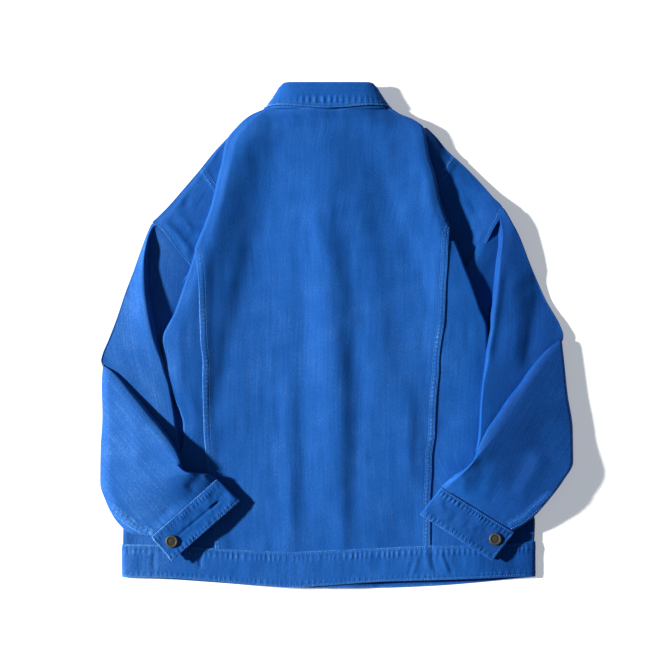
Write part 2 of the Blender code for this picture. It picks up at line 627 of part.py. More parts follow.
def build():
    for old in list(bpy.data.objects):
        bpy.data.objects.remove(old)
    centre_back()
    side_back("back_side_left", LEFT_SIDE_ROWS, -1)
    side_back("back_side_right", RIGHT_SIDE_ROWS, 1)
    front("front_left", -1, 0.0)
    front("front_right", 1, CLOTH + SEAM_GAP)
    hem_band()
    collar()
    sleeve("sleeve_left", LEFT_SLEEVE_ROWS, LEFT_CUFF)
    sleeve("sleeve_right", RIGHT_SLEEVE_ROWS, RIGHT_CUFF)
    cuff("cuff_left", LEFT_CUFF)
    cuff("cuff_right", RIGHT_CUFF)
    for name, corners in (("cuff_button_left", LEFT_CUFF), ("cuff_button_right", RIGHT_CUFF)):
        x, y = corners[CUFF_COLUMNS.index("button")]
        button(name, x, y, CUFF_BASE + CUFF_TOP + FOLDED / 2 + SEAM_GAP, 1)
    for number, y in enumerate(BUTTON_YS, 1):
        button("front_button_%d" % number, CENTRE_X, y, BUTTON_HEIGHT, -1)


build()
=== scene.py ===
"""Looks of a denim jacket laid flat with its back up.

The frame is the solid model's: +X to the wearer's right, +Y towards the collar, +Z up from the
surface. Sizes and places are in millimetres and become metres where a mesh is made. A cloth
piece is one closed shell or more: a grid of points on its upper side, and a wall below it.
"""
import math

import bpy
import numpy as np
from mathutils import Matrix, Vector
from mathutils.bvhtree import BVHTree


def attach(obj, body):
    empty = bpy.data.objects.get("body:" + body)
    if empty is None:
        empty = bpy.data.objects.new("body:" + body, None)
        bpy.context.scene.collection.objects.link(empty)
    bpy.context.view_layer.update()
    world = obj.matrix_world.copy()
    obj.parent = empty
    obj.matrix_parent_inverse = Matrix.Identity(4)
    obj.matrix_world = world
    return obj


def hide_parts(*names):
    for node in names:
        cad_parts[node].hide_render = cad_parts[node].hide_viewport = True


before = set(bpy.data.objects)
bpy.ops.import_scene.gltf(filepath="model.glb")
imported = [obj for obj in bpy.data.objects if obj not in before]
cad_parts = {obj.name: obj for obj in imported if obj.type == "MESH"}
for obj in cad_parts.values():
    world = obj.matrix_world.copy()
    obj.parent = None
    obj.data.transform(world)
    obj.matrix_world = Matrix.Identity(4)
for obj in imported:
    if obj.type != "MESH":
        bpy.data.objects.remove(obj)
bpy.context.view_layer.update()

MM = 0.001

# View and light
PIXEL = 1.375               # millimetres across one of the view's 660 pixels
VIEW_PIXELS = 660
CAMERA_PLACE = (-9.35, 6.2, 5000.0)
SENSOR = 36.0
SUN_HEADING, SUN_HEIGHT = 171.0, 25.0      # degrees: from the left, a little from the collar's side
SUN_STRENGTH, SUN_SIZE = 8.3, 4.0
SUN_COLOUR, SKY_COLOUR = (1.0, 0.985, 0.92), (0.50, 0.78, 1.0)
SKY_STRENGTH = 0.14
FLOOR_COLOUR, FLOOR_GLOW = 0.85, 0.36

# Cloth
CLOTH = 1.3                 # one layer of heavy denim
SEAM_GAP = 0.3              # between pieces that lie on one another
BAND = 2.4                  # hem band: two layers and what is turned in
FOLDED = 2.0                # cuffs and collar: two layers, pressed
LAP = 10.5                  # width of a lapped seam, from its edge to its inner stitches
LAP_RISE = 1.5              # a lapped edge stands this far over the panel under it
LAP_STITCHES = (1.8, 8.4)   # a lapped seam's two rows of stitches, in from its edge
BAND_DEPTH = 42.0           # hem band and cuffs, from their seam to their free edge
CUFF_STITCHES, HEM_STITCHES = (1.8, 40.2), (2.0, 40.2)     # rows of stitches, from the seam
STITCH, STITCH_PITCH, THREAD = 2.7, 3.5, 0.75
STITCH_WANDER, STITCH_STEP = 0.2, 2.0  # unevenness along a row, and the most height in one stitch
CENTRE_X = -10.0            # the jacket's own middle line

# The back's rolled side edges: their outermost line, the height of the cloth on top and the
# roll's radius. seam is how far in from that line the side seam lies. A negative seam has
# gone round the roll and is out of sight.
ROLL_COLUMNS = ("y", "x", "top", "radius", "seam")
LEFT_ROLL = (
    (-296, -293.5, 7.4, 2.7, 128), (-262, -293, 7.4, 2.7, 122), (-235, -288, 8.0, 2.9, 113),
    (-205, -262, 9.4, 3.4, 86), (-172, -224, 10.8, 3.9, 46), (-144, -211, 12.2, 4.4, 30),
    (-124, -211, 13.0, 4.7, 29), (-105, -216, 13.7, 5.0, 33.5), (-89, -224, 14.0, 5.1, 41),
    (-60, -234, 15.1, 5.5, 50.5), (-31, -238, 15.8, 5.7, 54.5), (-10, -240, 16.6, 6.0, 54),
    (32, -222, 17.3, 6.3, 34.5), (78, -206, 18.0, 6.5, 17), (100, -198.5, 18.4, 6.7, 7.0),
    (111, -195.5, 18.6, 6.8, 2.5), (130, -189, 19.1, 6.9, -9), (152, -181, 19.8, 7.2, -20),
    (178, -172, 20.5, 7.5, -24), (208, -165, 21.2, 7.7, -24), (236, -158, 21.2, 7.7, -24),
    (265, -152, 19.8, 7.2, -24), (285, -137, 17.6, 6.4, -24), (298, -123, 15.5, 5.6, -24),
    (304, -113, 14.4, 5.2, -24), (309, -100, 14.0, 5.1, -24),
)
RIGHT_ROLL = (
    (-296, 271, 6.4, 2.7, 143), (-262, 272, 6.4, 2.7, 144), (-225, 262, 7.0, 3.0, 134),
    (-190, 226, 7.8, 3.5, 96), (-160, 203, 8.6, 4.1, 72), (-134, 201, 9.4, 4.4, 66.5),
    (-91, 203, 10.6, 5.0, 67), (-43, 208, 12.4, 5.4, 68), (9, 207, 15.2, 5.7, 61),
    (36, 197, 17.2, 6.0, 49), (65, 187, 19.2, 6.3, 38), (93, 176, 20.2, 6.4, 25),
    (122, 165, 20.8, 6.7, 13), (136, 158.5, 21.0, 6.8, 5.5), (145, 155, 21.1, 6.9, 1.0),
    (164, 147.5, 21.4, 7.2, -10), (188, 141, 21.8, 7.7, -20), (218, 135, 22.0, 8.0, -24),
    (244, 127, 22.0, 8.0, -24), (266, 123, 21.2, 7.7, -24), (284, 119, 18.4, 6.7, -24),
    (295, 105, 15.5, 5.6, -24), (303, 86, 14.4, 5.2, -24), (309, 76, 14.0, 5.1, -24),
)
MIDDLE_COLUMNS = ("y", "z")
MIDDLE_ROWS = ((-296, 10.1), (-240, 10.4), (-178, 11.2), (-110, 12.6), (-45, 13.7), (25, 14.8),
               (75, 15.8), (104, 16.6), (145, 17.6), (200, 19.1), (235, 20.5), (280, 22.0),
               (309, 23.0))
# Past a roll the back still rises: how much at each y (left and right), and over how far.
ROLL_DROPS = {
    -1: ((-296, 0), (-200, 1.0), (-110, 3.0), (-40, 4.2), (10, 3.0), (80, 1.8), (309, 2.6)),
    1: ((-296, 0), (-100, 0.8), (309, 0.8)),
}
ROLL_REACH = 27.0
ROLL_TIGHTNESS = 0.55       # the cloth turns in a smaller radius than the solid does
PANEL_END_Y, HEM_FADE_Y, PANEL_TOP_Y = -296.0, -236.0, 312.0
BACK_STEP, SIDE_STEP = 1.5, 2.6        # between the rows of points of the back and side backs
LAP_ZONE = 34.0             # the centre back's fine columns beside each lapped seam

# Soft creases. height is above the cloth (or below it, where negative), left and right are
# their half widths on either side in the view, and the line runs down the view.
# The rows hold height, left, right and line. They were fitted to the photo's shading.
BACK_CREASES = (
    (3.2, 21, 21, ((-10, 330), (-10, -310))),
    (-3.0, 50, 50, ((-90, 270), (-167, -370))),
    (-2.9, 50, 50, ((-115, 270), (-57, -210))),
    (2.5, 21, 21, ((-90, 330), (-210, 130))),
    (2.4, 21, 21, ((-90, 330), (-218, 10))),
    (2.0, 13, 13, ((8, 90), (8, -390))),
    (1.9, 21, 21, ((-50, 330), (8, -150))),
    (-1.8, 34, 34, ((-88, 330), (-146, -150))),
    (1.8, 13, 13, ((-64, -30), (-64, -350))),
    (1.7, 21, 21, ((-40, 330), (88, 10))),
    (-1.6, 34, 34, ((48, 270), (168, -210))),
    (-1.5, 13, 13, ((-94, 210), (-214, -270))),
    (-1.5, 34, 34, ((167, -30), (87, -350))),
    (1.4, 13, 13, ((116, 330), (140, 130))),
    (1.4, 21, 21, ((160, 330), (83, -310))),
    (-1.1, 13, 13, ((-46, 150), (-46, -330))),
    (-1.1, 13, 13, ((26, 30), (26, -290))),
    (1.0, 13, 13, ((-52, 210), (76, -110))),
    (0.9, 21, 21, ((10, 330), (68, -150))),
    (-0.9, 13, 13, ((14, 330), (142, 10))),
    (-0.8, 13, 13, ((-166, 150), (-166, -330))),
    (-0.8, 21, 21, ((110, 330), (-10, -150))),
    (0.7, 13, 13, ((20, 150), (140, -330))),
    (-0.7, 13, 13, ((50, 150), (170, -330))),
    (-0.7, 13, 13, ((122, 270), (122, -370))),
    (-0.7, 13, 13, ((-82, 210), (-202, -270))),
)


def table(rows, columns):
    """The columns of a table, each as an array."""
    return {name: np.array([row[k] for row in rows], float) for k, name in enumerate(columns)}


def curve(xs, ys, x):
    """A curve through (xs, ys) that never overshoots them (monotone cubic), at places x."""
    xs, ys = np.asarray(xs, float), np.asarray(ys, float)
    steps, slopes = np.diff(xs), np.diff(ys) / np.diff(xs)
    tangents = np.zeros(len(xs))
    tangents[0], tangents[-1] = slopes[0], slopes[-1]
    before, after = steps[:-1], steps[1:]
    same = slopes[:-1] * slopes[1:] > 0
    w0, w1 = (2 * after + before)[same], (after + 2 * before)[same]
    inner = np.zeros(len(xs) - 2)
    inner[same] = (w0 + w1) / (w0 / slopes[:-1][same] + w1 / slopes[1:][same])
    tangents[1:-1] = inner
    x = np.clip(x, xs[0], xs[-1])
    k = np.clip(np.searchsorted(xs, x) - 1, 0, len(xs) - 2)
    t = (x - xs[k]) / steps[k]
    return ((1 + 2 * t) * (1 - t) ** 2 * ys[k] + t * (1 - t) ** 2 * steps[k] * tangents[k]
            + t * t * (3 - 2 * t) * ys[k + 1] + t * t * (t - 1) * steps[k] * tangents[k + 1])


def along_table(rows, columns, key, where):
    """Every column of a table at places on its key column, as a dict."""
    found = table(rows, columns)
    return {name: curve(found[key], values, where) for name, values in found.items()}


def ease(t):
    """0 up to t = 0, 1 from t = 1, and smooth between."""
    t = np.clip(t, 0.0, 1.0)
    return t * t * (3 - 2 * t)


def near(distance, half_width):
    """1 on a line, falling softly to 0 over about twice the half width."""
    return np.exp(-(distance / half_width) ** 2)


def soft_noise(x, y, size, seed):
    """Smooth random values from -1 to 1, whose patches are about this size."""
    lattice = np.random.default_rng(seed).uniform(-1, 1, (64, 64))
    u, v = np.asarray(x) / size, np.asarray(y) / size
    i, j = np.floor(u).astype(int), np.floor(v).astype(int)
    a, b = ease(u - i), ease(v - j)
    corner = [[lattice[(i + p) % 64, (j + q) % 64] for q in (0, 1)] for p in (0, 1)]
    low = corner[0][0] * (1 - a) + corner[1][0] * a
    high = corner[0][1] * (1 - a) + corner[1][1] * a
    return low * (1 - b) + high * b


def path_lengths(points):
    """The length along a path at each of its points."""
    return np.concatenate([[0], np.cumsum(np.linalg.norm(np.diff(points, axis=0), axis=1))])


def smooth_line(points, step):
    """A line through plan points, with a point about every step."""
    points = np.array(points, float)
    lengths = path_lengths(points)
    fine = np.linspace(0, lengths[-1], max(2, int(math.ceil(lengths[-1] / step)) + 1))
    return np.stack([curve(lengths, points[:, 0], fine), curve(lengths, points[:, 1], fine)], -1)


def to_line(x, y, line):
    """For places in plan: distance along a line, and across it, positive to its left."""
    best = np.full(np.shape(x), np.inf)
    along, across = np.zeros(np.shape(x)), np.zeros(np.shape(x))
    run = 0.0
    for (x0, y0), (x1, y1) in zip(line[:-1], line[1:]):
        length = math.hypot(x1 - x0, y1 - y0)
        dx, dy = (x1 - x0) / length, (y1 - y0) / length
        s = np.clip((x - x0) * dx + (y - y0) * dy, 0, length)
        off = np.hypot(x - x0 - s * dx, y - y0 - s * dy)
        side = (y - y0) * dx - (x - x0) * dy
        closer = off < best
        best = np.where(closer, off, best)
        along = np.where(closer, run + s, along)
        across = np.where(closer, np.where(side < 0, -off, off), across)
        run += length
    return along, across


def crease_height(x, y, creases):
    """Sum of the soft creases at places in plan."""
    total = np.zeros(np.shape(x))
    for height, left, right, points in creases:
        line = smooth_line(points, 14.0)
        reach = 3 * max(left, right)
        low, high = line.min(axis=0) - reach, line.max(axis=0) + reach
        here = (x > low[0]) & (x < high[0]) & (y > low[1]) & (y < high[1])
        if not here.any():
            continue
        along, across = to_line(x[here], y[here], line)
        length = np.linalg.norm(np.diff(line, axis=0), axis=1).sum()
        ends = ease(along / (0.22 * length)) * ease((length - along) / (0.22 * length))
        width = np.where(across > 0, right, left)
        total[here] += height * ends * near(across, width)
    return total


def puckers(s, period, seed):
    """Uneven ridges from 0 to 1 along a stitched seam."""
    phase = s / period + 0.45 * soft_noise(s, 0 * s, 2.7 * period, seed)
    size = 0.6 + 0.4 * soft_noise(s, 0 * s, 3.1 * period, seed + 1)
    return size * (0.5 + 0.5 * np.sin(2 * math.pi * phase)) ** 1.6


# Meshes

EDGE_BULGE = 0.4            # how far a raw edge is rounded, as a share of the cloth
SMOOTH_UNDER = math.radians(50)


def grid_normals(grid, loop=False):
    """Unit normals of a grid of points. A loop's last column meets its first."""
    if loop:
        wide = np.concatenate([grid[:, -1:], grid, grid[:, :1]], axis=1)
        across = wide[:, 2:] - wide[:, :-2]
    else:
        across = np.gradient(grid, axis=1)
    normals = np.cross(across, np.gradient(grid, axis=0))
    return normals / np.maximum(np.linalg.norm(normals, axis=2, keepdims=True), 1e-9)


def cloth_places(grid):
    """Each point's place on the flat cloth, from lengths along the grid."""
    across = np.linalg.norm(np.diff(grid, axis=1), axis=2)
    u = np.concatenate([np.zeros((len(grid), 1)), np.cumsum(across, axis=1)], axis=1)
    middle = grid.shape[1] // 2
    u = u - u[:, middle:middle + 1]
    along = np.linalg.norm(np.diff(grid, axis=0), axis=2).mean(axis=1)
    v = np.concatenate([[0], np.cumsum(along)])[:, None] + 0 * u
    return np.stack([u, v], axis=2)


def shell(top, wall, wear_and_painted_light=0.0, loop=False, places=None):
    """A cloth wall under a grid of points, with rounded raw edges. A loop closes sideways."""
    rows, cols = top.shape[:2]
    normals = grid_normals(top, loop)
    if loop:
        centre = top.mean(axis=1, keepdims=True)
        if np.sum(normals * (top - centre)) < 0:
            top = top[:, ::-1]
            return shell(top, np.broadcast_to(wall, (rows, cols))[:, ::-1],
                         np.broadcast_to(wear_and_painted_light, (rows, cols))[:, ::-1], True,
                         None if places is None else places[:, ::-1])
    wall = np.broadcast_to(wall, (rows, cols))[..., None]
    wear_and_painted_light = np.broadcast_to(wear_and_painted_light, (rows, cols))
    places = cloth_places(top) if places is None else places
    below = top - normals * wall
    index = np.arange(rows * cols).reshape(rows, cols)
    wide = np.hstack([index, index[:, :1]]) if loop else index
    a, b, d, e = wide[:-1, :-1], wide[:-1, 1:], wide[1:, :-1], wide[1:, 1:]
    upper = np.stack([a, b, e, d], -1).reshape(-1, 4)
    faces = [upper, upper[:, ::-1] + rows * cols]
    first, last = index[0], index[-1][::-1]
    if loop:
        rims = [(first, index[1]), (last, index[-2][::-1])]
    else:
        rim = np.concatenate([first[:-1], index[:-1, -1], last[:-1], index[::-1, 0][:-1]])
        inward = np.clip(np.stack(np.unravel_index(rim, (rows, cols))), 1,
                         np.array([[rows - 2], [cols - 2]]))
        rims = [(rim, index[inward[0], inward[1]])]
    flat_top, flat_below = top.reshape(-1, 3), below.reshape(-1, 3)
    points = [flat_top, flat_below]
    all_wear, all_places = [wear_and_painted_light.ravel()] * 2, [places.reshape(-1, 2)] * 2
    count = 2 * rows * cols
    for rim, inner in rims:
        out = flat_top[rim] - flat_top[inner]
        out /= np.maximum(np.linalg.norm(out, axis=1, keepdims=True), 1e-9)
        thick = wall.reshape(-1, 1)[rim]
        points.append((flat_top[rim] + flat_below[rim]) / 2 + EDGE_BULGE * thick * out)
        all_wear.append(wear_and_painted_light.ravel()[rim])
        all_places.append(places.reshape(-1, 2)[rim])
        here, then = rim, np.roll(rim, -1)
        middle = count + np.arange(len(rim))
        next_middle = np.roll(middle, -1)
        faces.append(np.stack([then, here, middle, next_middle], -1))
        faces.append(np.stack([next_middle, middle, here + rows * cols, then + rows * cols], -1))
        count += len(rim)
    return {"points": np.concatenate(points), "faces": np.concatenate(faces),
            "wear_and_painted_light": np.concatenate(all_wear), "places": np.concatenate(all_places)}


def join(parts):
    """Several shells as one set of points and faces."""
    offset, faces = 0, []
    for part in parts:
        faces.append(part["faces"] + offset)
        offset += len(part["points"])
    joined = {key: np.concatenate([part[key] for part in parts])
              for key in ("points", "wear_and_painted_light", "places")}
    joined["faces"] = np.concatenate(faces)
    return joined


# Even changes added to the denim's own fading: paler towards the bottom of the back, a painted
# highlight on the left sleeve where the light falls, and painted shade on the right side where the
# light falls away.
PALER_LOW, PAINTED_HIGHLIGHT_LEFT, PAINTED_SHADE_RIGHT = 0.05, 0.10, 0.28


def paling_and_painted_light(points):
    """The paler lower back, the painted highlight on the left and the painted shade on the right, at
    points of the cloth.
    """
    x, y = points[:, 0], points[:, 1]
    return (PALER_LOW * ease((170 - y) / 170) + PAINTED_HIGHLIGHT_LEFT * ease((-200 - x) / 50)
            - PAINTED_SHADE_RIGHT * ease((x - 140) / 105))


def link(name, mesh):
    """A mesh's object in the scene."""
    made = bpy.data.objects.new(name, mesh)
    bpy.context.scene.collection.objects.link(made)
    return made


def make(name, parts, finish):
    """One named object from shells in millimetres."""
    whole = join(parts)
    mesh = bpy.data.meshes.new(name)
    mesh.from_pydata((whole["points"] * MM).tolist(), [], whole["faces"].tolist())
    # The first attribute holds wear and some painted shadow; the second holds the paler lower back, a
    # painted highlight on the left and painted shade on the right.
    for key, values in (("wear_and_painted_light", whole["wear_and_painted_light"]), ("paling_and_painted_light", paling_and_painted_light(whole["points"]))):
        mesh.attributes.new(key, "FLOAT", "POINT").data.foreach_set("value", values)
    corners = np.zeros(len(mesh.loops), int)
    mesh.loops.foreach_get("vertex_index", corners)
    mesh.uv_layers.new(name="cloth").data.foreach_set("uv", (whole["places"] * MM)[corners].ravel())
    mesh.materials.append(finish)
    mesh.shade_smooth()
    mesh.set_sharp_from_angle(angle=SMOOTH_UNDER)
    return link(name, mesh)


def settle(made, nodes=()):
    """Fix a piece to the jacket's one body and the solids it stands for."""
    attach(made, "root")
    if nodes:
        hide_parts(*nodes)
    return made


# Finishes

def add_node(tree, kind, inputs=None, **settings):
    """A shader node with its settings, and values or links for its inputs."""
    made = tree.nodes.new("ShaderNode" + kind)
    for key, value in settings.items():
        setattr(made, key, value)
    for key, value in (inputs or {}).items():
        if isinstance(value, bpy.types.NodeSocket):
            tree.links.new(value, made.inputs[key])
        else:
            made.inputs[key].default_value = value
    return made


def math_node(tree, operation, a, b=0.0):
    return add_node(tree, "Math", {0: a, 1: b}, operation=operation).outputs[0]


def start_material(name):
    made = bpy.data.materials.new(name)
    made.use_nodes = True
    return made, made.node_tree, made.node_tree.nodes["Principled BSDF"]


def ramp(tree, factor, stops):
    made = add_node(tree, "ValToRGB", {"Fac": factor})
    elements = made.color_ramp.elements
    for k, (place, colour) in enumerate(stops):
        element = elements[k] if k < 2 else elements.new(place)
        element.position = place
        element.color = (*colour, 1.0)
    return made.outputs["Color"]


def stretched(tree, places, across, along):
    """Cloth places scaled so that a noise of scale 1 has patches 1/across by 1/along metres."""
    return add_node(tree, "Mapping", {"Vector": places, "Scale": (across, along, 1.0)}).outputs[0]


TWILL_PITCH = 1.1           # across one diagonal rib, in millimetres
DENIM_STOPS = (
    (0.00, (0.0008, 0.030, 0.175)),
    (0.45, (0.0068, 0.091, 0.388)),
    (0.62, (0.0200, 0.114, 0.432)),
    (0.80, (0.0700, 0.235, 0.600)),
    (1.00, (0.1900, 0.420, 0.770)),
)


def denim_material():
    """Overdyed twill, faded in the wash: warp streaks, soft fading, pale abrasion with some painted
    shadow from one attribute, and a paler lower back, a painted highlight on the left and painted
    shade on the right from another.
    """
    made, tree, shader = start_material("denim")
    places = add_node(tree, "UVMap", uv_map="cloth").outputs[0]
    wear_and_painted_light, paling_and_painted_light_by = (add_node(tree, "Attribute", attribute_name=name).outputs["Fac"]
                       for name in ("wear_and_painted_light", "paling_and_painted_light"))
    streaks = add_node(tree, "TexNoise", {"Vector": stretched(tree, places, 330, 14),
                                          "Scale": 1.0, "Detail": 3.0}).outputs[0]
    threads = add_node(tree, "TexNoise", {"Vector": stretched(tree, places, 1500, 260),
                                          "Scale": 1.0, "Detail": 2.0}).outputs[0]
    mottle = add_node(tree, "TexNoise", {"Vector": places, "Scale": 26.0, "Detail": 4.0}).outputs[0]
    speck = add_node(tree, "TexNoise", {"Vector": places, "Scale": 420.0, "Detail": 2.0}).outputs[0]
    twill = add_node(tree, "TexWave", {"Vector": places, "Scale": 2 * math.pi / (10 * TWILL_PITCH * MM)
                                       / math.sqrt(2), "Distortion": 1.2, "Detail": 1.0,
                                       "Detail Scale": 2.0},
                     wave_type="BANDS", bands_direction="DIAGONAL").outputs["Fac"]
    fade = math_node(tree, "MULTIPLY_ADD", streaks, 0.30)
    tree.nodes[-1].inputs[2].default_value = 0.17
    for source, share in ((threads, 0.34), (mottle, 0.30), (speck, 0.30), (twill, 0.14)):
        centred = math_node(tree, "SUBTRACT", source, 0.5)
        fade = math_node(tree, "ADD", fade, math_node(tree, "MULTIPLY", centred, share))
    patchy = math_node(tree, "MULTIPLY", wear_and_painted_light, math_node(tree, "ADD", speck, 0.35))
    fade = math_node(tree, "ADD", fade, math_node(tree, "MULTIPLY", patchy, 0.62))
    # Adds the paler lower back, the painted highlight on the left and the painted shade on the right.
    fade = math_node(tree, "ADD", math_node(tree, "ADD", fade, paling_and_painted_light_by), 0.13)
    tree.links.new(ramp(tree, fade, DENIM_STOPS), shader.inputs["Base Color"])
    relief = math_node(tree, "ADD", math_node(tree, "MULTIPLY", twill, 0.5),
                       math_node(tree, "MULTIPLY", threads, 0.8))
    relief = math_node(tree, "ADD", relief, math_node(tree, "MULTIPLY", speck, 0.9))
    bump = add_node(tree, "Bump", {"Strength": 0.8, "Distance": 0.0004, "Height": relief})
    tree.links.new(bump.outputs[0], shader.inputs["Normal"])
    shader.inputs["Roughness"].default_value = 0.60
    shader.inputs["Specular IOR Level"].default_value = 0.09
    shader.inputs["Sheen Weight"].default_value = 0.015
    shader.inputs["Sheen Roughness"].default_value = 0.5
    shader.inputs["Sheen Tint"].default_value = (0.6, 0.78, 1.0, 1.0)
    return made


def thread_material():
    made, tree, shader = start_material("thread")
    places = add_node(tree, "TexCoord").outputs["Object"]
    noise = add_node(tree, "TexNoise", {"Vector": places, "Scale": 260.0, "Detail": 2.0}).outputs[0]
    colour = ramp(tree, noise, ((0.25, (0.02, 0.13, 0.42)), (0.75, (0.07, 0.26, 0.60))))
    tree.links.new(colour, shader.inputs["Base Color"])
    shader.inputs["Roughness"].default_value = 0.7
    shader.inputs["Specular IOR Level"].default_value = 0.2
    return made


def button_material():
    """Dark antique metal, lighter on its raised rim: rubbed brass with a painted glint."""
    made, tree, shader = start_material("button_metal")
    places = add_node(tree, "TexCoord").outputs["Object"]
    wear_and_painted_light = add_node(tree, "Attribute", attribute_name="wear_and_painted_light").outputs["Fac"]
    patina = add_node(tree, "TexNoise", {"Vector": places, "Scale": 420.0, "Detail": 4.0}).outputs[0]
    # The rim's lighter colour is rubbed brass with a painted glint.
    bright = math_node(tree, "MULTIPLY", wear_and_painted_light, math_node(tree, "ADD", patina, 0.2))
    colour = ramp(tree, bright, ((0.0, (0.022, 0.021, 0.018)), (0.4, (0.055, 0.050, 0.040)),
                                 (0.9, (0.13, 0.11, 0.08))))
    tree.links.new(colour, shader.inputs["Base Color"])
    rough = math_node(tree, "ADD", math_node(tree, "MULTIPLY", patina, 0.35), 0.36)
    tree.links.new(rough, shader.inputs["Roughness"])
    bump = add_node(tree, "Bump", {"Strength": 0.3, "Distance": 0.0002, "Height": patina})
    tree.links.new(bump.outputs[0], shader.inputs["Normal"])
    shader.inputs["Metallic"].default_value = 0.35
    return made


denim, thread, button_metal = denim_material(), thread_material(), button_material()


# The back

def roll_at(side, y):
    """The rolled edge's sizes at places in y. side is -1 on the left and 1 on the right."""
    roll = along_table(LEFT_ROLL if side < 0 else RIGHT_ROLL, ROLL_COLUMNS, "y", y)
    roll["radius"] = ROLL_TIGHTNESS * roll["radius"]
    return roll


def seam_run(roll):
    """Length over the roll, from its outermost line in to the seam."""
    radius = roll["radius"]
    on_arc = radius * np.arccos(np.clip(1 - roll["seam"] / radius, -1, 1))
    beyond = roll["seam"] + (math.pi / 2 - 1) * radius
    return np.where(roll["seam"] < 0, roll["seam"], np.where(roll["seam"] < radius, on_arc, beyond))


def over_roll(side, roll, run):
    """Plan x and height of the cloth at a length in from the roll's outermost line."""
    radius = roll["radius"][:, None]
    quarter = math.pi / 2 * radius
    angle = np.clip(run / radius, -math.pi / 2, math.pi / 2)
    inward = radius * (1 - np.cos(angle)) + np.maximum(np.abs(run) - quarter, 0)
    x = roll["x"][:, None] - side * inward
    z = roll["top"][:, None] - radius * (1 - np.sin(angle))
    return x, z


def meet_ends(x, y):
    """Y of the back's points, moved so that it ends under the hem band's edge."""
    seam = hem_seam(x) - 2.0
    share = ease((HEM_FADE_Y - y) / (HEM_FADE_Y - PANEL_END_Y))
    return y + share * (seam - PANEL_END_Y)


HEM_COLUMNS = ("x", "seam_y", "back_edge_y", "front_edge_y", "back_z")
HEM_ROWS = (
    (-294, -289, -332, -333, 7.0), (-240, -290, -333, -335, 8.6), (-165, -295, -338, -340, 8.8),
    (-100, -298, -344, -345, 9.6), (-60, -299, -346, -346.8, 10.4), (-10, -297, -343, -347.4, 10.8),
    (59, -294, -338, -347.2, 11.0), (125, -291, -336, -344.8, 11.6), (190, -290, -334, -340, 11.0),
    (240, -287, -332, -335, 8.4), (272, -285, -331, -332, 6.8),
)


def hem_seam(x):
    return along_table(HEM_ROWS, HEM_COLUMNS, "x", x)["seam_y"]


def lap_profile(inside, run, seed):
    """Height and wear across a lapped seam, at a distance in from its edge."""
    strip = 1 - ease((inside - 3) / 24)
    rungs = puckers(run, 5.6, seed) * near(inside - 4.8, 2.4)
    height = LAP_RISE * strip - 0.35 * near(inside - 1.8, 0.7) - 0.35 * near(inside - 8.4, 0.9)
    wear_and_painted_light = 0.28 * near(inside, 0.8) + 0.5 * rungs + 0.12 * near(inside - 8.8, 0.8)
    return height + 0.7 * rungs, wear_and_painted_light


def back_base(x, y):
    """Height of the laid back between its rolls, before any crease, at places in plan."""
    left, right = roll_at(-1, y), roll_at(1, y)
    start, end = left["x"] + left["radius"], right["x"] - right["radius"]
    share = np.clip((x - start) / (end - start), 0, 1)
    hump = ease(4 * share * (1 - share))
    middle = curve(*table(MIDDLE_ROWS, MIDDLE_COLUMNS).values(), y)
    sides = left["top"] * (1 - share) + right["top"] * share
    return sides * (1 - hump) + middle * hump


def back_relief(x, y):
    creases = crease_height(x, y, BACK_CREASES)
    broad = 0.6 * soft_noise(x, y, 46, 3) + 0.25 * soft_noise(x, y, 17, 4)
    return creases + broad + 0.30 * soft_noise(x, 0.22 * y, 9, 5)


def over_side(side, y, run):
    """Points of the back's upper side at lengths in from a roll's outermost line."""
    roll = roll_at(side, y)
    x, z = over_roll(side, roll, run)
    y_all = y[:, None] + 0 * x
    top = roll["top"][:, None]
    up = ease((run - 0.6 * roll["radius"][:, None]) / 16)
    ends = meet_ends(x, y_all)
    z += up * (back_base(x, y_all) - top + back_relief(x, ends))
    z -= curve(*zip(*ROLL_DROPS[side]), y)[:, None] * (1 - ease(run / ROLL_REACH))
    return np.stack([x, ends, z], axis=2)


# Where the collar's free edge lies over the back, in plan; along it the back is sunk and darkened with
# a painted shadow. The neck seam shows below it.
COLLAR_EDGE = ((-100, 314), (-79, 318), (-38, 314), (-7, 311.5), (32, 316), (57, 317), (78, 312))
COLLAR_STITCHES = ((-82, 320.6), (-60, 319.4), (-34, 316.6), (-12, 315), (10, 316.6), (36, 319),
                   (62, 319))


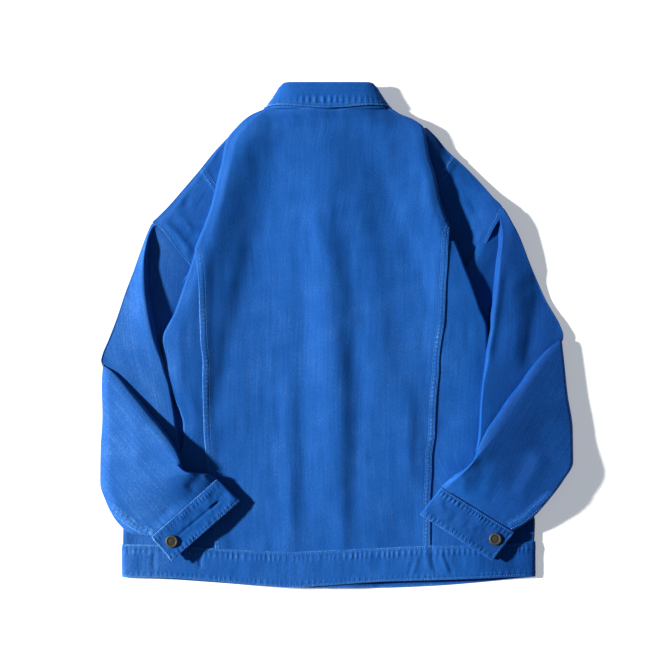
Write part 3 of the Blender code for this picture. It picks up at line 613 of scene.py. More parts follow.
def centre_back():
    """The centre back: fine columns beside both lapped seams, and even ones between."""
    y = np.append(np.arange(PANEL_END_Y, PANEL_TOP_Y - 1, BACK_STEP), PANEL_TOP_Y)
    fractions = np.linspace(0, 1, 22)[None, :] ** 1.3
    parts, profiles = {}, {}
    for side in (-1, 1):
        start = seam_run(roll_at(side, y))[:, None]
        run = start + LAP_ZONE * fractions
        parts[side] = over_side(side, y, run)
        profiles[side] = lap_profile(run - start, y[:, None] + 0 * run, 11 + side)
    share = np.linspace(0, 1, 66)[None, 1:-1]
    start_x, end_x = parts[-1][:, -1:, 0], parts[1][:, -1:, 0]
    x = start_x * (1 - share) + end_x * share
    y_all = y[:, None] + 0 * x
    ends = meet_ends(x, y_all)
    middle = np.stack([x, ends, back_base(x, y_all) + back_relief(x, ends)], axis=2)
    grid = np.concatenate([parts[-1], middle, parts[1][:, ::-1]], axis=1)
    rise, wear_and_painted_light = (np.hstack([profiles[-1][k], 0 * x, profiles[1][k][:, ::-1]]) for k in (0, 1))
    below = curve(*zip(*COLLAR_EDGE), grid[..., 0]) - grid[..., 1]
    rise = rise - 1.6 * near(below, 2.0) + 0.4 * near(below - 5.0, 1.4)
    # Painted shadow: the back is darkened just under the collar's edge; the paler line below it is the
    # neck seam's wear.
    wear_and_painted_light = wear_and_painted_light - 0.7 * near(below, 2.0) + 0.25 * near(below - 5.0, 1.0)
    places = cloth_places(grid)
    grid = grid + grid_normals(grid) * rise[..., None]
    wall = CLOTH + np.maximum(rise - 0.3, 0)
    back = make("back_panel", [shell(grid, wall, wear_and_painted_light, places=places)], denim)
    return settle(back, ["back_center"])


def side_back(side, name, node):
    """A side back: over its rolled edge, and a flat strip from under the roll to the side."""
    y = np.arange(PANEL_END_Y, 130.0, SIDE_STEP)
    roll = roll_at(side, y)
    seam, radius = seam_run(roll)[:, None], roll["radius"][:, None]
    inner, outer = seam + LAP + 1.0, -math.pi / 2 * radius - 7
    run = outer + (inner - outer) * np.linspace(0, 1, 44)[None, :]
    grid = over_side(side, y, run)
    grid[..., 2] -= 0.35 * ease((run - seam) / 2)
    parts = [shell(grid[:, ::-side], CLOTH), side_floor(side)]
    return settle(make(name, parts, denim), [node])


# The flat part of a side back and shoulder: its outer edge, and the height there and inside.
FLOOR_COLUMNS = ("y", "out_x", "out_z", "in_z")
LEFT_FLOOR = (
    (-230, -289, 2.9, 3.6), (-178, -284, 2.9, 3.6), (-105, -276, 2.9, 3.4), (-60, -270, 2.9, 3.4),
    (-10, -250, 2.9, 3.4), (32, -234, 2.9, 3.6), (72, -214, 3.6, 4.4), (92, -200, 6.0, 6.5),
    (97, -203, 6.4, 6.6), (111, -214, 6.6, 6.8), (130, -229, 6.6, 6.8), (148, -245, 6.0, 6.8),
    (154, -253, 4.6, 6.5),
    (160, -247, 4.4, 6.5), (175, -232, 4.4, 6.5), (199, -211, 4.4, 6.5), (226, -188, 4.4, 6.0),
    (251, -168, 3.6, 5.0), (262, -158, 3.2, 4.4), (272, -148, 3.0, 4.0), (278, -138, 3.0, 4.0),
)
RIGHT_FLOOR = (
    (-230, 268, 2.9, 3.6), (-178, 268, 2.9, 3.6), (-91, 260, 2.9, 3.4), (-43, 254, 2.9, 3.4),
    (9, 219, 2.9, 3.4), (36, 208, 2.9, 3.6), (65, 192, 3.6, 4.0), (78, 187, 4.4, 4.2),
    (100, 195, 5.4, 4.2), (122, 204, 7.6, 4.4), (145, 215, 11.6, 4.6), (170, 228, 14.8, 5.0),
    (176, 226, 14.4, 5.2), (188, 214.5, 12.0, 5.6), (198, 206, 9.0, 6.4), (229, 177, 6.6, 9.5),
    (254, 150, 8.0, 13.0), (270, 137, 8.5, 13.6), (284, 123, 9.0, 13.6),
)
SHOULDER_CREASES = (
    (1.8, 6, 5, ((-240, 154), (-224, 142), (-208, 124), (-197, 108))),
    (0.9, 5, 5, ((-226, 172), (-210, 158), (-196, 140))),
    (-0.8, 4, 6, ((-196, 210), (-206, 190), (-208, 172))),
    (-1.0, 5, 7, ((180, 190), (192, 168), (204, 140))),
    (-1.2, 5, 7, ((222, 172), (212, 150), (204, 130), (194, 112))),
    (0.9, 6, 7, ((164, 196), (184, 172), (200, 146))),
)
# Short shoulder seams, from the outline to the back's roll, and the armhole seams.
SHOULDER_SEAMS = {-1: ((-189, 228), (-168, 197)), 1: ((160, 245), (144, 222))}
ARMHOLES = {-1: ((-254, 153), (-243, 147), (-228, 129), (-214, 110), (-202, 96)),
            1: ((228, 172), (217, 151), (208, 132), (198, 112), (188, 92), (184, 78))}


FLOOR_STEEPNESS = {-1: 5.0, 1: 1.8}    # how soon the height changes, in from the outer edge


def side_floor(side):
    """The flat strip of a side back and its shoulder, with its two short seams."""
    rows = LEFT_FLOOR if side < 0 else RIGHT_FLOOR
    y = np.arange(rows[0][0], rows[-1][0] + 0.1, 2.4)
    floor = along_table(rows, FLOOR_COLUMNS, "y", y)
    inner = roll_at(side, y)["x"] - side * 9.0
    share = np.linspace(0, 1, 38)[None, :]
    x = floor["out_x"][:, None] * (1 - share) + inner[:, None] * share
    out_z, in_z = floor["out_z"][:, None], floor["in_z"][:, None]
    z = out_z + (in_z - out_z) * ease(share * FLOOR_STEEPNESS[side])
    y_all = y[:, None] + 0 * x
    z += ease(share * 3) * (crease_height(x, y_all, SHOULDER_CREASES)
                            + 0.35 * soft_noise(x, y_all, 9, 15) * ease((y_all - 80) / 20))
    run, off = to_line(x, y_all, smooth_line(SHOULDER_SEAMS[side], 4.0))
    strip = ease((off + 1) / 1.5) * (1 - ease((off - 7.5) / 1.5))
    z += 0.7 * strip + 0.3 * puckers(run, 5.0, 17) * near(off - 4, 3)
    wear_and_painted_light = 0.5 * near(off, 0.9) + 0.35 * near(off - 7.5, 1.0)
    run, off = to_line(x, y_all, smooth_line(ARMHOLES[side], 4.0))
    off = np.abs(off)
    z += 0.5 * (1 - ease(off / 7)) - 0.4 * near(off - 3.0, 0.8)
    wear_and_painted_light += 0.55 * near(off, 1.0) + 0.25 * puckers(run, 6.0, 19) * near(off - 5, 3)
    wear_and_painted_light[:, 0] *= 0.4
    grid = np.stack([x, y_all, z], axis=2)[:, ::-side]
    return shell(grid, CLOTH, np.clip(wear_and_painted_light, 0, 1)[:, ::-side])


# Sleeves: rings in plan from an outer to an inner end. crest is the height of the puffed
# part, edge the share of the ring that it takes, floor the height of the flat rest.
UPPER_COLUMNS = ("ox", "oy", "ix", "iy", "low", "crest", "edge", "peak", "floor")
LEFT_UPPER = (
    (-249.5, 155.5, -192, 104, 0.8, 2.6, 0.10, 0.5, 2.2),
    (-255, 151, -197, 97, 1.4, 4.6, 0.08, 0.5, 3.6),
    (-259, 143, -200, 89, 2.4, 8.0, 0.08, 0.5, 4.0),
    (-267, 122, -206, 70, 4.0, 15.0, 0.14, 0.5, 4.0),
    (-280, 85, -216, 34, 5.5, 19.0, 0.34, 0.64, 4.0),
    (-291, 56, -224, 8, 6.0, 20.8, 0.58, 0.74, 4.0),
    (-302, 23, -230, -20, 6.0, 17.6, 0.80, 0.84, 4.0),
    (-314, -8, -230, -48, 5.0, 13.8, 0.94, 0.93, 4.5),
    (-322, -27, -226, -76, 4.2, 12.2, 0.98, 0.97, 4.5),
    (-324, -36, -221, -108, 4.0, 11.6, 0.98, 0.98, 5.0),
    (-323, -40, -218, -132, 4.0, 11.2, 0.98, 0.98, 5.0),
    (-321, -46, -214, -154, 4.0, 11.0, 0.97, 0.98, 5.0),
    (-317, -58, -211, -172, 3.6, 10.6, 0.97, 0.97, 5.0),
)
RIGHT_UPPER = (
    (224, 177, 174, 86, 11.5, 12.8, 0.10, 0.80, 8.0),
    (230, 171, 179, 76, 16.0, 14.6, 0.14, 0.78, 10.0),
    (239, 156, 181, 68, 16.5, 14.2, 0.23, 0.80, 9.5),
    (249, 138, 185, 57, 14.6, 13.6, 0.43, 0.83, 7.5),
    (266, 95, 192, 30, 11.0, 13.4, 0.69, 0.86, 5.4),
    (276, 72, 196, 14, 5.5, 14.2, 0.82, 0.88, 4.2),
    (287, 48, 200, -2, 3.6, 15.2, 0.90, 0.91, 4.0),
    (306, 14, 200, -34, 6.5, 16.8, 0.97, 0.94, 5.0),
    (311, 0, 197, -72, 8.0, 17.5, 0.98, 0.98, 6.0),
    (311, -4, 194, -104, 8.0, 17.0, 0.98, 0.98, 6.0),
    (310, -8, 193, -128, 7.0, 16.5, 0.98, 0.98, 6.0),
    (307, -14, 191, -148, 5.4, 15.5, 0.98, 0.97, 5.0),
    (302, -24, 188, -164, 4.2, 14.0, 0.98, 0.97, 5.0),
)
LOWER_COLUMNS = ("ox", "oy", "ix", "iy", "base_o", "base_i", "top_o", "top_i")
LEFT_LOWER = (
    (-321.5, -44, -213, -184, 2.0, 11.0, 9.0, 35.0), (-323, -70, -210, -186, 0.5, 11.5, 9.5, 35.0),
    (-322, -111, -207, -187, 0.5, 12.0, 10.0, 35.5), (-324.5, -160, -202, -188, 0.5, 12.0, 10.5, 35.5),
    (-325, -203, -194, -189, 0.5, 12.0, 11.0, 35.5), (-318, -227, -187, -190, 1.5, 11.5, 12.5, 33.5),
    (-300, -259, -176, -191, 4.0, 11.0, 14.0, 29.0), (-281, -273, -169, -194, 9.0, 10.6, 17.5, 23.5),
    (-254.5, -276, -163.5, -196, 14.4, 10.4, 23.0, 19.0),
)
RIGHT_LOWER = (
    (309, -8, 190, -168, 2.0, 13.0, 14.0, 41.0), (312, -34, 183, -177, 0.5, 13.0, 14.5, 43.0),
    (317, -82, 177, -182, 0.5, 13.0, 15.5, 43.5), (324, -130, 171, -186, 0.5, 13.0, 16.5, 42.5),
    (324.5, -174, 164, -190, 0.5, 13.0, 22.5, 40.0), (311, -200, 159, -194, 0.8, 13.2, 27.0, 36.5),
    (289, -229, 154, -198, 2.0, 13.5, 27.0, 32.0), (269, -251, 149, -202, 6.0, 13.8, 22.5, 26.5),
    (243, -269.5, 142.5, -207.5, 10.4, 14.4, 19.0, 23.0),
)
# Where the lower sleeve's rolled upper edge runs, in plan.
LEFT_TUCK = ((-321, -42), (-304, -53), (-278, -81), (-257, -106), (-236, -132), (-219, -158),
             (-211, -183))
RIGHT_TUCK = ((308, -6), (289, -20), (268, -43), (247, -72), (233, -89), (220, -109),
              (205, -130), (196, -148), (188, -170))
# The lower sleeves' felled seams, from the outline to the cuff. The strip lies to the left of
# the line as it runs.
FELLED_SEAMS = {-1: ((-314, -240), (-300, -251.5), (-281, -266), (-257, -277)),
                1: ((238, -268), (256, -259), (274, -243), (293, -226))}
LEFT_SLEEVE_CREASES = (
    (-2.4, 12, 20, ((-252, 120), (-276, 60), (-288, 10), (-296, -30))),
    (-0.7, 12, 14, ((-300, 0), (-282, -40), (-262, -80))),
)
LEFT_FOREARM_CREASES = (
    (-2.2, 7, 9, ((-182, -190), (-194, -200), (-206, -214))),
    (-1.2, 7, 9, ((-222, -238), (-236, -250), (-248, -262))),
    (1.0, 10, 12, ((-286, -96), (-272, -140), (-276, -190))),
)
RIGHT_SLEEVE_CREASES = (
    (-4.6, 9, 16, ((284, 74), (274, 34), (268, 0), (262, -34), (258, -56))),
    (-1.8, 7, 10, ((236, 104), (230, 50), (222, 0), (216, -50))),
    (1.4, 9, 9, ((252, 60), (248, 10), (240, -40))),
)
RIGHT_FOREARM_CREASES = (
    (-1.0, 12, 16, ((266, -150), (250, -190), (232, -224))),
    (1.8, 12, 12, ((284, -160), (262, -196), (244, -226))),
    (-0.8, 7, 10, ((196, -160), (198, -190), (192, -220))),
    (-0.9, 6, 9, ((222, -190), (216, -214), (206, -232))),
    (1.4, 7, 8, ((176, -190), (174, -206), (170, -220))),
)


def ring_table(rows, columns, step):
    """A table of rings, with more of them between its rows."""
    found = table(rows, columns)
    plan = np.stack([found["ox"] + found["ix"], found["oy"] + found["iy"]], -1) / 2
    key = np.concatenate([[0], np.cumsum(np.linalg.norm(np.diff(plan, axis=0), axis=1) + 1)])
    fine = np.linspace(0, key[-1], int(key[-1] / step) + 1)
    return {name: curve(key, values, fine)[:, None] for name, values in found.items()}


FOREARM_EDGES = {-1: (16.0, 9.0), 1: (4.0, 9.0)}       # the turned outer and inner edges' widths
FELL_STITCHES = (1.5, 9.0)             # a felled seam's rows of stitches, in from its line
TUCK_RADIUS = 8.5
TUCK_TURNS = (-150, -120, -90, -60, -30, 0, 25, 50, 72)        # degrees round the tuck's roll


def low_edge(distance, radius):
    """How far the underside lifts at a distance in from a rounded outer edge."""
    return radius * (1 - np.sqrt(1 - (1 - np.clip(distance / radius, 0, 1)) ** 2))


def ring_points(r, share, z):
    """Points at shares of the rings, from their outer to their inner ends."""
    x = r["ox"] + (r["ix"] - r["ox"]) * share
    y = r["oy"] + (r["iy"] - r["oy"]) * share
    return np.stack([x, y, z + 0 * x], axis=2)


def upper_sleeve(side):
    """The upper arm: a puffed dome beside its outline, a flat rest, and the underside."""
    rows = LEFT_UPPER if side < 0 else RIGHT_UPPER
    creases = LEFT_SLEEVE_CREASES if side < 0 else RIGHT_SLEEVE_CREASES
    r = ring_table(rows, UPPER_COLUMNS, 2.6)
    n_dome, n_floor, n_under = 46, 12, 22
    turn = (0.5 - 0.5 * np.cos(np.linspace(0, math.pi, n_dome)))[None, :] + 0 * r["ox"]
    outside = np.clip(turn / r["peak"], 0, 1)
    inside = np.clip((turn - r["peak"]) / (1 - r["peak"]), 0, 1)
    swell = ease((1 - r["peak"]) / 0.3)
    rise = (0.5 - 0.3 * swell) * outside + 0.35 * np.sin(math.pi / 2 * outside)
    rise = rise + (0.15 + 0.3 * swell) * ease(outside ** 1.2)
    dome = np.where(turn < r["peak"], rise, np.sqrt(1 - inside ** 2))
    share = turn * r["edge"]
    foot = np.where(turn < r["peak"], r["low"], r["floor"])
    z = foot + (r["crest"] - foot) * dome
    flat = np.linspace(0, 1, n_floor + 1)[None, 1:] + 0 * r["ox"]
    flat_share = r["edge"] + (1 - r["edge"]) * flat
    flat_z = r["floor"] * (1 - 0.6 * flat ** 4 if side < 0 else 0.5 + 0.4 * flat)
    under = np.linspace(0.99, 0.0, n_under + 1)[None, :-1] + 0 * r["ox"]
    width = np.hypot(r["ix"] - r["ox"], r["iy"] - r["oy"])
    under_z = 0.3 + low_edge(under * width, r["low"])
    top = ring_points(r, np.hstack([share, flat_share]), np.hstack([z, flat_z]))
    lift = np.hstack([dome ** 0.7 + 0 * share, 0 * flat_share])
    top[..., 2] += lift * (crease_height(top[..., 0], top[..., 1], creases)
                           + 0.5 * soft_noise(top[..., 0], top[..., 1], 34, 21 + side))
    top[..., 2] += 0.2 + 1.6 * ease(np.hstack([share, flat_share]) / 0.4)
    bottom = ring_points(r, under, under_z + 1.4 * ease(under / 0.4))
    return shell(np.concatenate([top, bottom], axis=1), CLOTH, loop=True)


def lower_sleeve(side):
    """The forearm: its upper edge rolls over the upper sleeve, and its end meets the cuff."""
    rows = LEFT_LOWER if side < 0 else RIGHT_LOWER
    creases = LEFT_FOREARM_CREASES if side < 0 else RIGHT_FOREARM_CREASES
    tuck = smooth_line(LEFT_TUCK if side < 0 else RIGHT_TUCK, 3.0)
    r = ring_table(rows, LOWER_COLUMNS, 1.5)
    n_top, n_under = 60, 26
    turn = (0.5 - 0.5 * np.cos(np.linspace(0, math.pi, n_top)))[None, :] + 0 * r["ox"]
    width = np.hypot(r["ix"] - r["ox"], r["iy"] - r["oy"])
    out_width, in_width = FOREARM_EDGES[side]
    out_edge = np.clip(1 - turn * width / out_width, 0, 1)
    in_edge = np.clip(1 - (1 - turn) * width / in_width, 0, 1)
    dome = (1 - 0.5 * out_edge ** 2.2) * (1 - 0.5 * in_edge ** 2.2)
    base = r["base_o"] + (r["base_i"] - r["base_o"]) * turn
    low = 0.45 * (r["top_o"] - r["base_o"])
    full = r["top_o"] + (r["top_i"] - r["top_o"]) * (0.8 * turn + 0.2 * np.sin(math.pi / 2 * turn))
    z = base + (full - base) * dome
    top = ring_points(r, turn, z)
    lift = (2 * dome - 1) ** 2
    calm = ease((r["top_i"] - r["base_i"] - 8.6) / 5)
    top[..., 2] += lift * (calm * crease_height(top[..., 0], top[..., 1], creases)
                           + 0.5 * soft_noise(top[..., 0], top[..., 1], 34, 31 + side))
    run, off = to_line(top[..., 0], top[..., 1], smooth_line(FELLED_SEAMS[side], 4.0))
    begun = run > 0.5
    inside = ease((off + 1) / 1.5) * (1 - ease((off - 10.5) / 2)) * begun
    rungs = puckers(run, 7.4, 25) * near(off - 5.5, 3.2) * begun
    top[..., 2] += 0.9 * inside + 1.4 * rungs - 0.5 * near(off - 9.0, 0.9) * begun
    edges = (near(off, 0.9) + near(off - 10.5, 0.9)) * begun
    wear_and_painted_light = np.clip(0.3 * edges + 0.06 * inside + 0.35 * rungs, 0, 1)
    under = np.linspace(0.985, 0.015, n_under)[None, :] + 0 * r["ox"]
    under_base = r["base_o"] + (r["base_i"] - r["base_o"]) * under
    low_i = 0.45 * (r["top_i"] - r["base_i"])
    under_z = (under_base + low_edge(under * width / low * 8, 8.0) * low / 8
               + low_edge((1 - under) * width / low_i * 8, 8.0) * low_i / 8)
    bottom = ring_points(r, under, under_z)
    rings = np.concatenate([top, bottom], axis=1)
    rolled = tuck_rings(rings[0], n_top, tuck)
    wear_and_painted_light = np.pad(wear_and_painted_light[1:], ((len(rolled), 0), (0, n_under)))
    whole = np.concatenate([rolled, rings[1:]])
    corners = np.array((LEFT_CUFF if side < 0 else RIGHT_CUFF)[:2], float)
    seam = (corners[1] - corners[0]) / np.linalg.norm(corners[1] - corners[0])
    places = np.stack([whole[..., :2] @ seam, whole[..., :2] @ (-seam[1], seam[0])], axis=2)
    return shell(whole, CLOTH, wear_and_painted_light, loop=True, places=places)


def tuck_rings(first, n_top, tuck):
    """Rings that roll the first ring's top down and back under itself, along the tuck's line."""
    lengths = path_lengths(tuck)
    ends = first[0, :2], first[n_top - 1, :2]
    span = ends[1] - ends[0]
    share = (first[:, :2] - ends[0]) @ span / (span @ span)
    share = np.clip(share, 0, 1)
    on_tuck = np.stack([np.interp(share * lengths[-1], lengths, tuck[:, k]) for k in (0, 1)], -1)
    normal = np.array([-span[1], span[0]]) / np.linalg.norm(span)
    if normal[1] < 0:
        normal = -normal
    is_top = np.arange(len(first)) < n_top
    radius = TUCK_RADIUS * np.sin(math.pi * np.clip(share, 0.008, 0.93)) ** 0.8
    rings = []
    for angle in np.radians(TUCK_TURNS):
        ring = first.copy()
        out = radius * (math.cos(angle) - 1)
        ring[:, :2] = on_tuck + out[:, None] * normal
        drop = radius * (1 - math.sin(angle))
        ring[:, 2] = np.where(is_top, np.maximum(first[:, 2] - drop, 4.0), first[:, 2])
        rings.append(ring)
    return np.array(rings)


def sleeve(side, name, node):
    parts = [upper_sleeve(side), lower_sleeve(side)]
    return settle(make(name, parts, denim), [node])


# Cuffs: corners at the sleeve's seam (outer, inner) and at the free edge (outer, inner).
CUFF_COLUMNS = ("seam_outer", "seam_inner", "free_outer", "free_inner", "button")
LEFT_CUFF = ((-253, -277), (-162, -197), (-226, -309), (-131, -226), (-226, -283))
RIGHT_CUFF = ((242, -271), (141, -209), (213, -309), (113, -245), (217, -280))
CUFF_BASE, CUFF_TILT = 12.4, 0.04      # the cuffs sink a little towards the jacket's right
CUFF_TOP = 8.6
END_STITCHES = 0.016        # the row at the buttoned end, as a share of the cuff's width
SLITS = {-1: (21.0, 1.0), 1: (14.0, 0.15)}      # each buttonhole's distance from the seam, and depth
# A cuff's strip in section: along is a share of its width with end millimetres added.
CUFF_PATH = (
    (0.0, 0.0, 8.4), (0.1, 0.0, 8.6), (0.3, 0.0, 8.6), (0.5, 0.0, 8.8), (0.7, 0.0, 8.8),
    (0.9, 0.0, 8.4), (1.0, -3.2, 7.6), (1.0, -1.4, 5.0), (1.0, -3.2, 2.2), (0.9, 0.0, 1.3),
    (0.7, 0.0, 1.3), (0.5, 0.0, 1.3), (0.3, 0.0, 1.3), (0.1, 0.0, 1.3), (0.0, 4.6, 1.5),
    (0.0, 2.6, 3.2), (0.0, 5.0, 4.7), (0.0, 12.0, 5.0), (0.0, 26.0, 5.0),
)


def cuff_drop(corners, x):
    """How much lower a cuff lies at x than at its middle."""
    return CUFF_TILT * (x - (corners[0][0] + corners[3][0]) / 2)


def cuff(side, name, node):
    """A cuff: one strip wound in section, its upper end buttoned over its lower one."""
    corners = LEFT_CUFF if side < 0 else RIGHT_CUFF
    c = {key: np.array(value, float) for key, value in zip(CUFF_COLUMNS, corners)}
    depth = np.linspace(0, 1, 40)[:, None]
    outer = c["seam_outer"] + (c["free_outer"] - c["seam_outer"]) * depth
    inner = c["seam_inner"] + (c["free_inner"] - c["seam_inner"]) * depth
    width = np.linalg.norm(inner - outer, axis=1, keepdims=True)
    across = (inner - outer) / width
    mean = width.mean()
    path = np.array([(along * mean + end, up) for along, end, up in CUFF_PATH])
    lengths = path_lengths(path)
    fine = np.linspace(0, lengths[-1], int(lengths[-1] / 1.2))
    along = curve(lengths, path[:, 0], fine)[None, :] * width / mean
    up = curve(lengths, path[:, 1], fine)[None, :] + 0 * depth
    deep = depth * BAND_DEPTH + 0 * along
    on_top = (fine < mean * 0.97)[None, :] & (depth >= 0)
    seam_rungs = puckers(along, 5.6, 41 + side) * near(deep - 6.0, 3.4)
    edge_rungs = puckers(along, 6.4, 51 + side) * near(deep - 38.0, 2.8)
    slit_at, slit_depth = SLITS[side]
    slit = near(deep - slit_at - 0.03 * along, 1.8)
    slit = slit * ease((along - 22) / 12) * ease((104 - along) / 8)
    slit = slit * (0.5 + 0.9 * ease((along - 84) / 6)) * slit_depth
    soft = 0.7 * soft_noise(along, deep, 15, 61 + side) + 0.4 * soft_noise(along, deep, 7, 62)
    z = up + np.where(on_top, 1.4 * seam_rungs + 1.2 * edge_rungs - 1.6 * slit + soft, 0)
    grooves = sum(near(deep - row, 0.8) for row in CUFF_STITCHES)
    z -= np.where(on_top, 0.35 * grooves, 0)
    plan = outer[:, None, :] + across[:, None, :] * along[..., None]
    z += CUFF_BASE + FOLDED / 2 - cuff_drop(corners, plan[..., 0])
    grid = np.concatenate([plan, z[..., None]], axis=2)
    wear_and_painted_light = 0.35 * seam_rungs + 0.30 * edge_rungs + 0.5 * near(deep - 42.5, 1.0) - 0.12
    # The pale edges are wear; the buttonhole slit is darkened as painted shade in its opening.
    wear_and_painted_light += 0.45 * near(deep, 0.9) + 0.45 * near(along, 1.2) - 0.6 * slit
    if side < 0:
        grid, wear_and_painted_light = grid[::-1], wear_and_painted_light[::-1]
    made = make(name, [shell(grid, FOLDED, wear_and_painted_light)], denim)
    return settle(made, [node])


# The hem band

def hem_path():
    """The band's middle line in section, from the left front's end round to the right's."""
    left, right = HEM_ROWS[0][0], HEM_ROWS[-1][0]
    low, over_buttons = BAND / 2, BUTTON_LIFT + BAND / 2
    over_left = over_buttons + BAND + SEAM_GAP
    path = [(CENTRE_X + 17, over_buttons, 1), (CENTRE_X, over_buttons, 1), (-42, over_buttons, 1),
            (-70, low, 1), (-130, low, 1), (-200, low, 1), (-255, low, 1),
            (left + 10, low, 1), (left + 3, low + 1.0, 0.7), (left, 4.0, 0.5)]
    for x, _, _, _, back_z in HEM_ROWS:
        inset = {left: left + 5, right: right - 5}.get(x, x)
        path.append((inset, back_z, 0.15 if inset != x else 0))
    path += [(right, 4.0, 0.5), (right - 3, low + 1.0, 0.7), (right - 10, low, 1), (230, low, 1),
             (170, low, 1), (100, low, 1), (62, low, 1), (40, over_buttons, 1), (18, over_left, 1),
             (CENTRE_X, over_left, 1), (CENTRE_X - 17, over_left, 1)]
    return np.array(path, float)


# Creases of the hem band, as on the back.
HEM_CREASES = (
    (-0.9, 2.4, 3.4, ((129, -284), (130, -300), (133, -318), (137, -330))),
    (0.6, 2.8, 2.8, ((123, -290), (124, -310), (127, -326))),
    (-0.6, 2.6, 3.2, ((146, -296), (152, -312), (160, -330))),
    (0.5, 2.8, 3.2, ((141, -296), (147, -314), (154, -330))),
    (-0.5, 2.6, 3.2, ((104, -310), (100, -322), (97, -334))),
    (0.5, 3.2, 2.6, ((112, -300), (108, -318), (104, -332))),
    (-1.0, 2.4, 3.0, ((-186, -298), (-188, -310), (-187, -322))),
    (-0.9, 2.6, 3.4, ((-250, -296), (-252, -312), (-250, -326))),
)


def hem_band():
    """The band wound along its path, back and front, with its puckers on the back."""
    path = hem_path()
    lengths = path_lengths(path[:, :2])
    even = np.linspace(0, lengths[-1], 700)
    density = np.cumsum(np.where(curve(lengths, path[:, 2], even) > 0.6, 1.0, 3.0))
    fine = np.interp(np.linspace(density[0], density[-1], 620), density, even)
    x, z, front_share = (curve(lengths, path[:, k], fine)[None, :] for k in range(3))
    found = along_table(HEM_ROWS, HEM_COLUMNS, "x", x)
    seam = found["seam_y"]
    edge = (1 - front_share) * found["back_edge_y"] + front_share * found["front_edge_y"]
    depth = np.linspace(0, 1, 30)[:, None]
    y = seam + (edge - seam) * depth
    x_all = x + 0 * y
    run = fine[None, :] + 0 * y
    deep = depth * BAND_DEPTH + 0 * y
    back = ease((0.9 - front_share) / 0.3) + 0 * y
    seam_rungs = puckers(run, 7.4, 71) * near(deep - 7.5, 4.6)
    edge_rungs = puckers(run, 7.2, 73) * near(deep - 37.5, 2.6)
    soft = 0.45 * soft_noise(run, deep, 24, 75) + 0.3 * soft_noise(run, deep * 0.4, 8, 76)
    rise = 1.1 * seam_rungs + 0.7 * edge_rungs + soft * ease(depth * 4) * ease(4 - 4 * depth)
    rise += crease_height(x_all, y, HEM_CREASES) - 0.4 * near(deep - HEM_STITCHES[0], 0.8)
    rise -= 0.4 * near(deep - HEM_STITCHES[1], 0.8)
    wear_and_painted_light = 0.35 * seam_rungs + 0.2 * edge_rungs
    wear_and_painted_light += 0.35 * near(deep, 1.0) + 0.35 * near(deep - BAND_DEPTH, 1.2)
    grid = np.stack([x_all, y, z + 0 * y], axis=2)[::-1]
    grid = grid + grid_normals(grid) * (BAND / 2 + (rise * back)[::-1])[..., None]
    made = make("hem_cloth", [shell(grid, BAND, np.clip(wear_and_painted_light, 0, 1)[::-1])], denim)
    return settle(made, ["hem_band"])


# Collar, from its middle back to a front end, as the solid model's.
COLLAR_COLUMNS = ("x", "y", "z", "lean_x", "lean_y", "face_x", "face_z", "fall", "roll")
COLLAR_ROWS = (
    (0, 309.6, 22.8, 0.00, 1.00, 0.0, 1.0, 32.5, 6.5),
    (24, 309.6, 22.6, 0.00, 1.00, 0.0, 1.0, 31.0, 6.5),
    (48, 309.7, 21.7, 0.00, 1.00, 0.0, 1.0, 29.0, 6.2),
    (66, 309.8, 19.0, -0.22, 1.00, 0.3, 1.0, 28.0, 6.0),
    (78, 309.8, 15.2, -0.54, 0.95, 0.8, 0.6, 28.5, 5.5),
    (82, 309.6, 12.6, -0.64, 0.85, 1.0, 0.0, 30, 5.0),
    (79, 303.0, 9.0, -0.72, 0.75, 0.8, -0.6, 30, 4.0),
    (72, 291.0, 5.4, -0.80, 0.62, 0.2, -1.0, 30, 3.0),
    (61, 271.0, 4.0, -0.84, 0.56, 0.0, -1.0, 30, 2.6),
    (44, 251.0, 4.0, -0.70, 0.71, 0.0, -1.0, 30, 2.6),
    (27, 237.0, 4.2, -0.45, 0.89, 0.0, -1.0, 30, 2.8),
    (10, 229.0, 4.6, -0.20, 0.98, 0.0, -1.0, 30, 3.0),
)
COLLAR_STAND, COLLAR_SINK = 35.8, 0.22    # the folded edge lies lower than the neck seam


def collar():
    """The collar, from one front end round the neck to the other."""
    found = table(COLLAR_ROWS, COLLAR_COLUMNS)
    plan = np.stack([found["x"], found["y"], found["z"]], -1)
    key = path_lengths(plan)
    fine = np.concatenate([np.arange(0, 92, 1.5), np.linspace(92, key[-1], 34)])
    half = {name: curve(key, values, fine) for name, values in found.items()}
    mirrored = {name: values[:0:-1] * (-1 if name in ("x", "lean_x", "face_x") else 1)
                for name, values in half.items()}
    r = {name: np.concatenate([mirrored[name], half[name]])[:, None] for name in half}
    run = np.concatenate([-fine[:0:-1], fine])[:, None]
    up, out, deep = collar_profile(r)
    rungs = puckers(run, 8.6, 81) ** 1.6 * near(deep - 21.5, 5.0) * ease((deep - 9) / 7)
    back = ease((96 - np.abs(run)) / 10)
    out = out + back * (1.5 * rungs - 0.45 * near(deep - 26.5, 0.9))
    out = out + back * 0.5 * soft_noise(run, deep, 22, 83) * ease(deep / 8)
    lean = np.stack([r["lean_x"], r["lean_y"], -COLLAR_SINK * np.clip(r["face_z"], 0, 1)], axis=2)
    lean = lean / np.linalg.norm(lean, axis=2, keepdims=True)
    face = np.stack([r["face_x"], 0 * r["x"], r["face_z"]], axis=2)
    face = face / np.linalg.norm(face, axis=2, keepdims=True)
    base = np.stack([CENTRE_X - 2 + r["x"], r["y"], r["z"]], axis=2)
    grid = base + lean * up[..., None] + face * out[..., None]
    wear_and_painted_light = back * (0.3 * rungs + 0.5 * near(deep - r["fall"], 1.2)) + 0 * deep
    grid = grid + grid_normals(grid) * FOLDED / 2
    made = make("collar_cloth", [shell(grid, FOLDED, np.clip(wear_and_painted_light, 0, 1))], denim)
    return settle(made, ["collar"])


